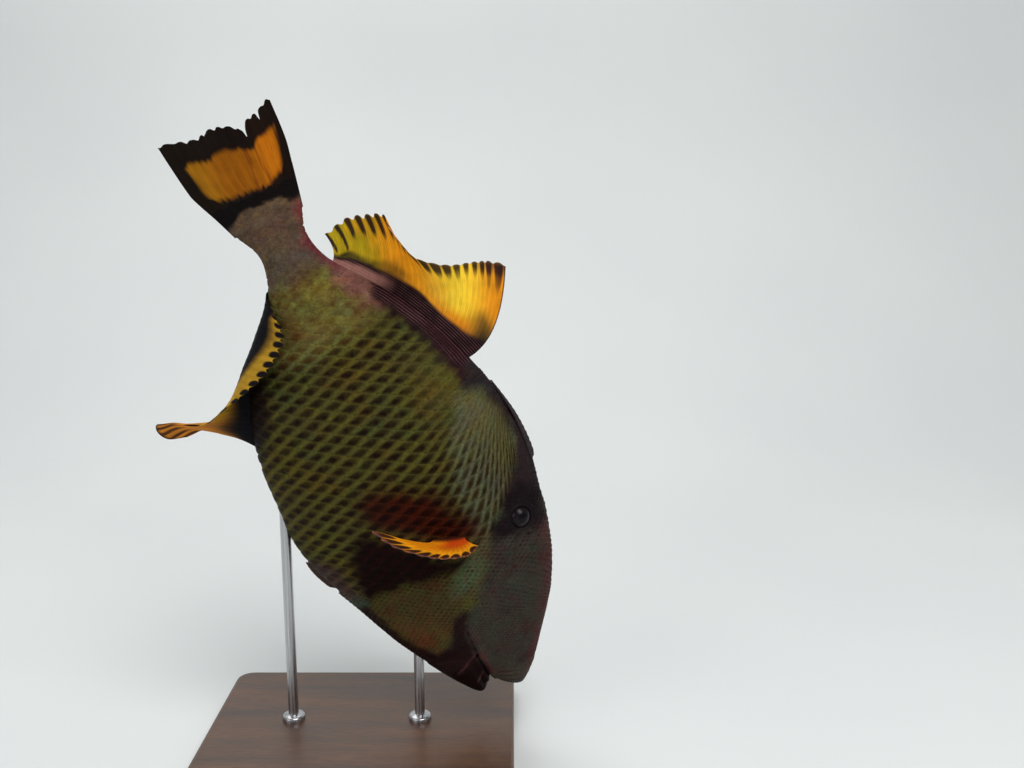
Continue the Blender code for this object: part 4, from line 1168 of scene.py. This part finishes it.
def fin_material():
    """Fin skin: the grid's tint, streaked along the rays, with slightly paler rays and a satin surface."""
    n = Nodes("fin_skin")
    across = n.math("MULTIPLY", n.attribute("across"), 260.0)
    along = n.math("MULTIPLY", n.attribute("along"), 5.0)
    where = n.add("ShaderNodeCombineXYZ", X=across, Y=along).outputs[0]
    streaks = n.rescale(n.noise(1.0, 3, where), 0.28, 0.72, 0.80, 1.22)
    blotches = n.rescale(n.noise(70, 3), 0.3, 0.7, 0.90, 1.12)
    ray = n.rescale(n.attribute("ridge"), 0.0, 1.0, 0.94, 1.10)
    shade = n.math("MULTIPLY", n.math("MULTIPLY", streaks, blotches), ray)
    base = n.mix_colours(1.0, n.attribute("tint", "Color"), n.grey(shade), "MULTIPLY")
    line = n.fold_line(0.0)
    faint = n.rescale(n.noise(70, 3), 0.35, 0.65, 0.08, 0.45)
    base = n.mix_colours(n.math("MULTIPLY", line, faint), base, rgb(132, 92, 88))
    normal = n.bump(n.noise(1.0, 3, where), 0.00012, 0.6, n.bump(line, 0.0004))
    roughness = n.rescale(n.noise(150), 0.3, 0.7, 0.40, 0.58)
    return n.finish(base, roughness, normal, Specular_IOR_Level=0.05)


def bowed(root, lift, tip, u):
    u = u[..., None]
    return root * (1 - u) ** 2 + lift * 2 * u * (1 - u) + tip * u**2


def ridge_fin_point(edge, base, tips, lifts, sign, root_bias=0.0, waist=0.0):
    """Surface of a fin on the ridge of the back (sign 1) or the belly (sign -1).

    A root bias crowds the rays' roots towards the front, and a waist lifts the front rays tailwards.
    """
    tailward = place(1, 0, 0) - place(0, 0, 0)
    outward = place(0, sign, 0) - place(0, 0, 0)
    sideways = np.array((0, 1, 0))

    def point(t, u):
        s = mix(*base, mix(t, t * t, root_bias))
        root = place(s, curve(edge, s) - sign * ROOT_SINK, 0)
        tip_at = curve(tips, t)
        tip = place(tip_at[..., 0], tip_at[..., 1], tip_at[..., 2])
        share = curve(lifts, t)
        bend = tailward * share[..., 0:1] + outward * share[..., 1:2] + sideways * share[..., 2:3]
        lift = root + bend * np.linalg.norm(tip - root, axis=-1, keepdims=True)
        pinch = waist * np.maximum(0, 1 - t / WAIST_END) * gauss(u - WAIST_AT, WAIST_LENGTH)
        return bowed(root, lift, tip, u) + tailward * pinch[..., None]

    return point


def sheath_root(t, u, middle):
    """Scaly sheath that thickens the root of the dorsal and anal fins."""
    fade = np.maximum(0, 1 - u / SHEATH_SHARE) ** 1.5
    return SHEATH_HALF * np.sin(math.pi * mix(0.08, 0.92, t)) ** 0.4 * fade


def layered(shape, first, *layers):
    """Colours of a fin: the first one with the others laid over it in turn, each by its weight."""
    tint = np.broadcast_to(rgb(*first), (*shape, 3))
    for colour, weight in layers:
        tint = mix(tint, rgb(*colour), weight[..., None])
    return tint


def dots(phase, u, centre, length, width, wedge=0.0):
    """Weight of one rounded dot on each lobe, from its half length and width; a wedge widens outwards."""
    offset = phase - np.round(phase)
    reach = (u - centre) / length
    away = (np.abs(offset / (width * (1 + wedge * reach))) ** 2.4 + np.abs(reach) ** 2.4) ** (1 / 2.4)
    return smooth_step(1.16, 0.84, away)


def wedges(phase, u, inner, width):
    """Weight of one dark wedge on each lobe, from its narrow inner end out to the margin."""
    offset = np.abs(phase - np.round(phase))
    along = np.clip((u - inner) / (1 - inner), 0, 1)
    half = width * mix(0.35, 1.0, np.sqrt(along))
    return smooth_step(1.25, 0.75, offset / half) * smooth_step(-0.06, 0.10, u - inner)


def dorsal_colour(t, u, phase, middle):
    uneven = grain(middle, 0.012)
    olive = smooth_step(0.32, 0.08, t) * smooth_step(0.66, 0.40, u + 0.05 * uneven)
    front_dusk = smooth_step(0.20, 0.03, t) * smooth_step(0.52, 0.25, u + 0.05 * uneven)
    rear_dusk = smooth_step(0.60, 0.80, t) * smooth_step(0.44, 0.31, u + 0.07 * uneven)
    pink_root = smooth_step(0.74, 0.88, t + 0.05 * uneven) * smooth_step(0.23, 0.13, u + 0.04 * uneven)
    front = smooth_step(0.30, 0.10, t)
    steep = gauss(t - 0.44, 0.12)
    rear = smooth_step(0.52, 0.66, t)
    last = smooth_step(0.90, 0.97, t)
    inner = 0.87 - 0.05 * front - 0.06 * steep - 0.17 * rear - 0.32 * last + 0.03 * grain(middle, 0.009)
    width = 0.28 + 0.14 * front + 0.22 * steep + 0.04 * rear - 0.14 * last
    dash = wedges(phase + 0.5 * last * (1 - u), u, inner, width)
    return layered(
        t.shape, (222, 134, 24),
        ((250, 206, 54), gauss(t - 0.34, 0.18) * smooth_step(0.26, 0.52, u)),
        ((246, 158, 28), smooth_step(0.45, 0.60, t)),
        # Painted highlight: a pale orange patch in the fin's middle that lightens the fold which the lamps
        # leave in shade
        ((255, 190, 58), 0.7 * gauss(t - 0.50, 0.09) * gauss(u - 0.50, 0.22)),
        ((166, 142, 22), smooth_step(0.70, 0.95, t + 0.06 * uneven)),
        ((118, 86, 32), olive * 0.9),
        ((30, 30, 26), front_dusk),
        ((30, 34, 20), rear_dusk * (0.75 + 0.25 * grain(middle, 0.006))),
        ((26, 11, 17), smooth_step(0.28, 0.21, u + 0.03 * grain(middle, 0.02))),
        ((150, 104, 94), pink_root),
        ((112, 78, 60), smooth_step(0.90, 0.97, u) * front * 0.7),
        ((34, 19, 26), dash * 0.95),
        ((128, 92, 40), smooth_step(0.975, 0.995, u) * 0.45),
        ((26, 24, 26), smooth_step(0.012, 0.004, t) * 0.9),
    )


def dorsal_scallop(t):
    return 0.015 + 0.04 * smooth_step(0.60, 0.90, t)


def anal_colour(t, u, phase, middle):
    uneven = 0.04 * grain(middle, 0.02)
    rearward = smooth_step(0.2, 0.6, t)
    edge = mix(0.22, 0.80, smooth_step(0.15, 0.85, t)) + 0.25 * smooth_step(0.88, 0.97, t)
    brown = edge + mix(0.36, 0.12, rearward)
    soft = edge + mix(0.14, 0.03, rearward)
    front = smooth_step(0.18, 0.13, t)
    streak = smooth_step(-0.4, 0.5, np.sin(t * 224 + 1.2 * grain(middle, 0.012))) * smooth_step(0.66, 0.80, u)
    return layered(
        t.shape, (164, 126, 34),
        ((196, 122, 40), smooth_step(0.32, 0.12, t)),
        ((84, 58, 26), smooth_step(brown, edge, u + uneven) * 0.85),
        ((14, 14, 17), smooth_step(soft, edge - 0.08, u + uneven)),
        ((40, 26, 24), np.clip(streak + smooth_step(0.95, 0.99, u), 0, 1) * front * 0.9),
        ((18, 12, 16), dots(phase, u, 0.94, 0.070, 0.32) * (1 - front)),
    )


def anal_scallop(t):
    return mix(0.01, 0.05, smooth_step(0.08, 0.25, t))


def caudal_colour(t, u, phase, middle):
    streaky = grain(np.stack((t * 42, u * 3.0, t * 0), -1), 1.0)
    uneven = 0.025 * grain(middle, 0.014) + 0.030 * streaky
    base_line = 0.34 + 0.06 * (1 - 4 * t * (1 - t))
    root = smooth_step(base_line + 0.05, base_line - 0.03, u + 0.6 * uneven)
    lower = smooth_step(0.030, -0.030, t + uneven * 0.3 - mix(0.17, 0.09, u))
    upper = smooth_step(-0.020, 0.025, t + uneven * 0.3 - mix(0.83, 0.975, u))
    margin = smooth_step(0.76, 0.83, u + 0.7 * uneven + 0.025 * smooth_step(0.9, 0.6, t))
    tint = layered(
        t.shape, (138, 79, 9),
        ((146, 100, 16), smooth_step(0.40, 0.12, t) * 0.7),
        ((186, 104, 12), gauss(t - 0.82, 0.12) * 0.8),
        ((92, 36, 10), smooth_step(0.25, 0.8, streaky) * smooth_step(0.35, 0.55, t) * 0.5),
        ((7, 7, 8), np.clip(root + lower + upper + margin, 0, 1) * 0.98),
    )
    light, dark = markings(middle)
    skin = mix(light, dark, 0.45 + 0.35 * grain(middle, 0.004)[..., None]) * SKIN_TONE
    speckle = 0.06 * grain(middle, 0.005) + 0.10 * grain(middle, 0.0018)
    return mix(tint, skin, smooth_step(0.32, 0.18, u + speckle)[..., None])


def caudal_point(t, u):
    s = mix(CAUDAL_ROOT, curve(CAUDAL_MARGIN, t), u)
    ripple = 0.0030 * np.sin(t * 9.0) * smooth_step(0.3, 1.0, u) * np.sin(math.pi * t)
    return place(s, mix(curve(CAUDAL_LOWER_EDGE, s), curve(CAUDAL_UPPER_EDGE, s), t), ripple)


def caudal_root(t, u, middle):
    s, h, y = to_fish(middle)
    inside = np.maximum(half_width_at(s, h) - COAT_DEPTH - 0.0003, 0)
    return inside * smooth_step(SKIN_REAR, SKIN_REAR - 0.01, s)


def caudal_scallop(t):
    tears = gauss(t - 0.695, 0.010) * 0.15 + gauss(t - 0.855, 0.010) * 0.06 + gauss(t - 0.375, 0.010) * 0.05
    return 0.022 + 0.012 * np.sin(t * 40) + tears


def pectoral_point(t, u):
    s = mix(PECTORAL_BASE[0][0], PECTORAL_BASE[1][0], t)
    h = mix(PECTORAL_BASE[0][1], PECTORAL_BASE[1][1], t)
    here, outward = left_surface(s, h)
    root = here - outward * ROOT_SINK
    tip_at = curve(PECTORAL_TIPS, t)
    tip = place(tip_at[..., 0], tip_at[..., 1], tip_at[..., 2])
    length = np.linalg.norm(tip - root, axis=-1, keepdims=True)
    lift = root + (outward * 0.7 + unit(tip - root) * 0.3) * length * PECTORAL_SPREAD
    return bowed(root, lift, tip, u)


def pectoral_colour(t, u, phase, middle):
    tint = layered(
        t.shape, (222, 132, 15),
        ((196, 70, 16), smooth_step(0.70, 0.35, u) * smooth_step(0.85, 0.4, t)),
        ((234, 160, 28), smooth_step(0.60, 0.80, u) * 0.6),
        ((56, 22, 14), smooth_step(0.24, 0.08, u)),
        ((34, 12, 20), dots(phase, u, 0.890, 0.110, 0.42, 0.25) * 0.96),
    )
    streaks = smooth_step(0.1, 0.6, grain(np.stack((t * 60, u * 2, 0 * t), -1), 1.0))
    margin = layered(t.shape, (90, 58, 62), ((160, 92, 40), streaks * 0.8))
    return mix(tint, margin, smooth_step(0.935, 0.965, u)[..., None] * 0.9)


def pectoral_root(t, u, middle):
    return PECTORAL_ROOT_HALF * np.maximum(0, 1 - u / 0.25) ** 1.5


def flap_point(t, u):
    s = mix(*FLAP_BASE, t)
    root = place(s, curve(BOTTOM, s) + ROOT_SINK, 0)
    height = FLAP_HEIGHT * np.sin(math.pi * mix(0.35, 0.90, t)) ** 0.6
    tip = place(s + FLAP_SWEEP, curve(BOTTOM, s) - height, 0)
    return mix(root, tip, u[..., None])


def flap_colour(t, u, phase, middle):
    return mix(markings(middle)[1], rgb(84, 66, 54), 0.6 * u[..., None])


def flap_root(t, u, middle):
    return FLAP_ROOT_HALF * np.maximum(0, 1 - u / 0.9) ** 1.5


def make_fins(material):
    make_fin(
        "dorsal_fin", "soft_dorsal_fin",
        ridge_fin_point(TOP, DORSAL_BASE, DORSAL_TIPS, DORSAL_LIFT, 1, root_bias=DORSAL_ROOT_BIAS),
        DORSAL_RAYS, DORSAL_LOBES, dorsal_colour, sheath_root, material,
        scallop=dorsal_scallop, sheath=0.20, folds=1.0,
    )
    make_fin(
        "ventral_fin", "anal_fin",
        ridge_fin_point(BOTTOM, ANAL_BASE, ANAL_TIPS, ANAL_LIFT, -1, waist=ANAL_WAIST),
        ANAL_RAYS, ANAL_LOBES, anal_colour, sheath_root, material, scallop=anal_scallop,
    )
    make_fin(
        "tail_fin", "caudal_fin", caudal_point, CAUDAL_RAYS, CAUDAL_RAYS, caudal_colour, caudal_root,
        material, per_ray=24, rows=96, scallop=caudal_scallop, sheath=0.20,
    )
    for side in ("left", "right"):
        make_fin(
            "pectoral_" + side, "pectoral_fin_" + side, pectoral_point, PECTORAL_RAYS, PECTORAL_LOBES,
            pectoral_colour, pectoral_root, material, rows=48, flip=side == "right",
        )


def tube(centres, radii):
    """Rings round (s, h, y) centres, with a radius for each ring and angle."""
    angle = circle(radii.shape[1])
    s, h, y = centres.T
    return place(s[:, None], h[:, None] + radii * np.sin(angle), y[:, None] + radii * np.cos(angle))


def spine_material():
    n = Nodes("rough_spine")
    grey = n.rescale(n.noise(300, 4), 0.3, 0.7)
    base = n.mix_colours(grey, rgb(25, 17, 20), rgb(50, 38, 40))
    normal = n.bump(n.noise(700, 3), 0.0003, 0.9)
    return n.finish(base, 0.55, normal, Specular_IOR_Level=0.35)


def make_spiny_dorsal(material):
    """Three spines folded in their groove, knobbed on their upper sides."""
    u = np.linspace(0, 1, SPINE_RINGS)
    angle = circle(SPINE_POINTS)
    knobs = 1 + 0.10 * np.cos(u[:, None] * 90 + angle * 3) * (angle < math.pi)
    taper = mix(0.35, 1.0, np.sqrt(np.clip(u / 0.06, 0, 1)))
    rings = []
    for (root_s, tip_s, radius), side in zip(SPINES, (0, SPINE_SIDE_STEP, -SPINE_SIDE_STEP)):
        s = mix(root_s, tip_s, u)
        h = curve(TOP, s) + SPINE_RISE - radius * (1 - u) * 0.6
        size = mix(radius, SPINE_TIP_RADIUS, u**1.4) * taper
        rings.append(tube(np.stack((s, h, np.full(len(s), side)), 1), size[:, None] * knobs))
    made = mesh_object("folded_spines", *closed_lofts(rings), material)
    declare(made, "spines", "spiny_dorsal")


def make_pelvic_spine(material):
    """Ribbed knob at the end of the belly's keel."""
    u = np.linspace(0, 1, PELVIC_SPINE_RINGS)
    angle = circle(PELVIC_SPINE_POINTS)
    (root_s, root_h), (tip_s, tip_h) = PELVIC_SPINE
    centres = np.stack((mix(root_s, tip_s, u), mix(root_h, tip_h, u), u * 0), 1)
    ribs = 1 + 0.10 * np.cos(u[:, None] * math.tau * 7 + 0.6 * np.cos(angle * 2)) + 0.04 * np.cos(angle * 9)
    radii = PELVIC_SPINE_RADIUS * ribs * mix(1.0, 0.45, u)[:, None]
    made = mesh_object("pelvic_knob", *closed_loft(tube(centres, radii)), material)
    declare(made, "spines", "pelvic_spine")


def make_pelvic_flap(material):
    make_fin(
        "pelvic_skin", "pelvic_flap", flap_point, FLAP_RAYS, FLAP_RAYS, flap_colour, flap_root, material,
        rows=24,
    )


def eye_material():
    """Dark eye with a thin bronze iris; polar is 0 at the pupil's middle and 1 at the back."""
    n = Nodes("eye_glass")
    polar = n.attribute("polar")
    flecks = n.noise(900, 3)
    iris = n.mix_colours(n.rescale(flecks, 0.35, 0.65), rgb(16, 9, 14), rgb(27, 17, 22))
    ring = n.mix_colours(n.rescale(polar, 0.155, 0.165), rgb(34, 24, 26), iris)
    base = n.mix_colours(n.rescale(polar, 0.135, 0.150), rgb(6, 4, 8), ring)
    base = n.mix_colours(n.rescale(polar, 0.205, 0.245), base, rgb(14, 8, 12))
    return n.finish(base, 0.25, None, Coat_Weight=0.08, Coat_Roughness=0.05, Specular_IOR_Level=0.1)


def make_eyes():
    """Eyeballs that bulge a little round the pupil."""
    material = eye_material()
    centre, outward = eye_frame()
    level = unit(np.cross(outward, (0.0, 0.0, 1.0)))
    up = np.cross(level, outward)
    polar = np.linspace(0.0, math.pi, EYE_GRID[0])[:, None]
    around = circle(EYE_GRID[1])
    radius = EYE_RADIUS * (1 + EYE_BULGE * gauss(polar, EYE_BULGE_ANGLE))
    reach = np.sin(polar) * radius
    points = centre + (np.cos(polar) * radius + 0 * around)[..., None] * outward
    points = points + (reach * np.cos(around))[..., None] * level + (reach * np.sin(around))[..., None] * up
    for side in ("left", "right"):
        placed, faces = on_side(side, points, grid_faces(*EYE_GRID, closed=True))
        made = mesh_object("eyeball_" + side, placed, faces, material)
        set_attribute(made, "polar", np.broadcast_to(polar / math.pi, EYE_GRID).ravel())
        declare(made, "eyes", "eye_" + side)


def wood_material():
    n = Nodes("dark_wood")
    stretch = n.add("ShaderNodeMapping", Vector=n.place(), Scale=(3.0, 22.0, 22.0)).outputs[0]
    rings = n.noise(2.2, 5, stretch)
    fibres = n.noise(26.0, 3, stretch)
    base = n.mix_colours(n.rescale(rings, 0.3, 0.7), rgb(58, 36, 24), rgb(104, 68, 42))
    base = n.mix_colours(n.rescale(fibres, 0.35, 0.75, 0.0, 0.45), base, rgb(40, 24, 16))
    normal = n.bump(fibres, 0.0001, 0.5)
    roughness = n.rescale(rings, 0.3, 0.7, 0.34, 0.48)
    return n.finish(base, roughness, normal, Coat_Weight=0.25, Coat_Roughness=0.2)


def steel_material():
    n = Nodes("brushed_steel")
    stretch = n.add("ShaderNodeMapping", Vector=n.place(), Scale=(900.0, 900.0, 12.0)).outputs[0]
    lines = n.noise(1.0, 3, stretch)
    base = n.mix_colours(n.rescale(lines, 0.3, 0.7), rgb(150, 150, 154), rgb(200, 200, 202))
    roughness = n.rescale(lines, 0.3, 0.7, 0.22, 0.38)
    return n.finish(base, roughness, n.bump(lines, 0.00003, 0.5), Metallic=1.0)


def make_rods(material):
    """Turned rods with collars, from the base into the fish's underside."""
    angle = circle(ROD_POINTS)
    for name in ("stand_rod_front", "stand_rod_back"):
        low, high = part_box(name)
        x = (low.x + high.x) / 2
        profile = [(low.z + height, radius) for height, radius in ROD_PROFILE]
        profile.append((high.z + ROD_INTO_FISH, ROD_PROFILE[-1][1]))
        rings = [(x + r * np.cos(angle), r * np.sin(angle), np.full(ROD_POINTS, z)) for z, r in profile]
        rings = np.array(rings).transpose(0, 2, 1)
        made = mesh_object("rod_" + name.split("_")[-1], *closed_loft(rings), material)
        made.data.set_sharp_from_angle(angle=ROD_SHARP_ANGLE)
        declare(made, "stand_metal", name)


def stage_material():
    n = Nodes("pale_floor")
    tone = n.rescale(n.noise(1.2, 2), 0.3, 0.7)
    base = n.mix_colours(tone, rgb(218, 222, 222), rgb(226, 229, 228))
    return n.finish(base, 0.8, n.bump(n.noise(60, 3), 0.0004, 0.3))


def make_stage():
    """Pale floor that sweeps up into a pale wall."""
    bend_from = WALL_AT - WALL_BEND
    profile = [(FLOOR_FRONT, 0.0), (bend_from, 0.0)]
    for k in range(1, 17):
        angle = 0.5 * math.pi * k / 16
        profile.append((bend_from + WALL_BEND * math.sin(angle), WALL_BEND - WALL_BEND * math.cos(angle)))
    profile.append((WALL_AT, WALL_TOP))
    columns = np.linspace(-STAGE_HALF_WIDTH, STAGE_HALF_WIDTH, 9)
    rows = np.array([[(x, y, z) for x in columns] for y, z in profile])
    floor = mesh_object("floor", rows, grid_faces(*rows.shape[:2]), stage_material())


def make_lights():
    """Soft lamps round the fish and an even white sky."""
    for name, location, size, energy in LIGHTS:
        data = bpy.data.lights.new(name, "AREA")
        data.shape = "DISK"
        data.size = size
        data.energy = energy
        light = linked(name, data)
        light.location = location
        aim = Vector(LIGHTS_AIM) - Vector(location)
        light.rotation_euler = aim.to_track_quat("-Z", "Y").to_euler()
    world = bpy.data.worlds.new("studio")
    world.use_nodes = True
    background = world.node_tree.nodes["Background"].inputs
    background["Color"].default_value = (1.0, 1.0, 1.0, 1.0)
    background["Strength"].default_value = SKY_STRENGTH
    bpy.context.scene.world = world
    bpy.context.scene.view_settings.view_transform = "Standard"


def make_camera():
    data = bpy.data.cameras.new("camera")
    data.lens = CAMERA_LENS
    data.sensor_width = CAMERA_SENSOR
    camera = linked("camera", data)
    camera.location = CAMERA_AT
    camera.rotation_euler = (math.pi / 2 - CAMERA_PITCH, 0, 0)
    bpy.context.scene.camera = camera


def main():
    make_camera()
    make_stage()
    make_lights()
    skin = make_skin(skin_material("body_skin", 0.0016, 0.00025))
    make_flank_scales(skin_material("flank_scales", 0.0012, 0.00030))
    make_head_scales(skin_material("small_scales", 0.0008, 0.00015), skin)
    fin_finish = fin_material()
    make_fins(fin_finish)
    spines = spine_material()
    make_spiny_dorsal(spines)
    make_pelvic_spine(spines)
    make_pelvic_flap(fin_finish)
    make_eyes()
    make_rods(steel_material())
    base_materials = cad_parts["stand_base"].data.materials
    base_materials.clear()
    base_materials.append(wood_material())


main()
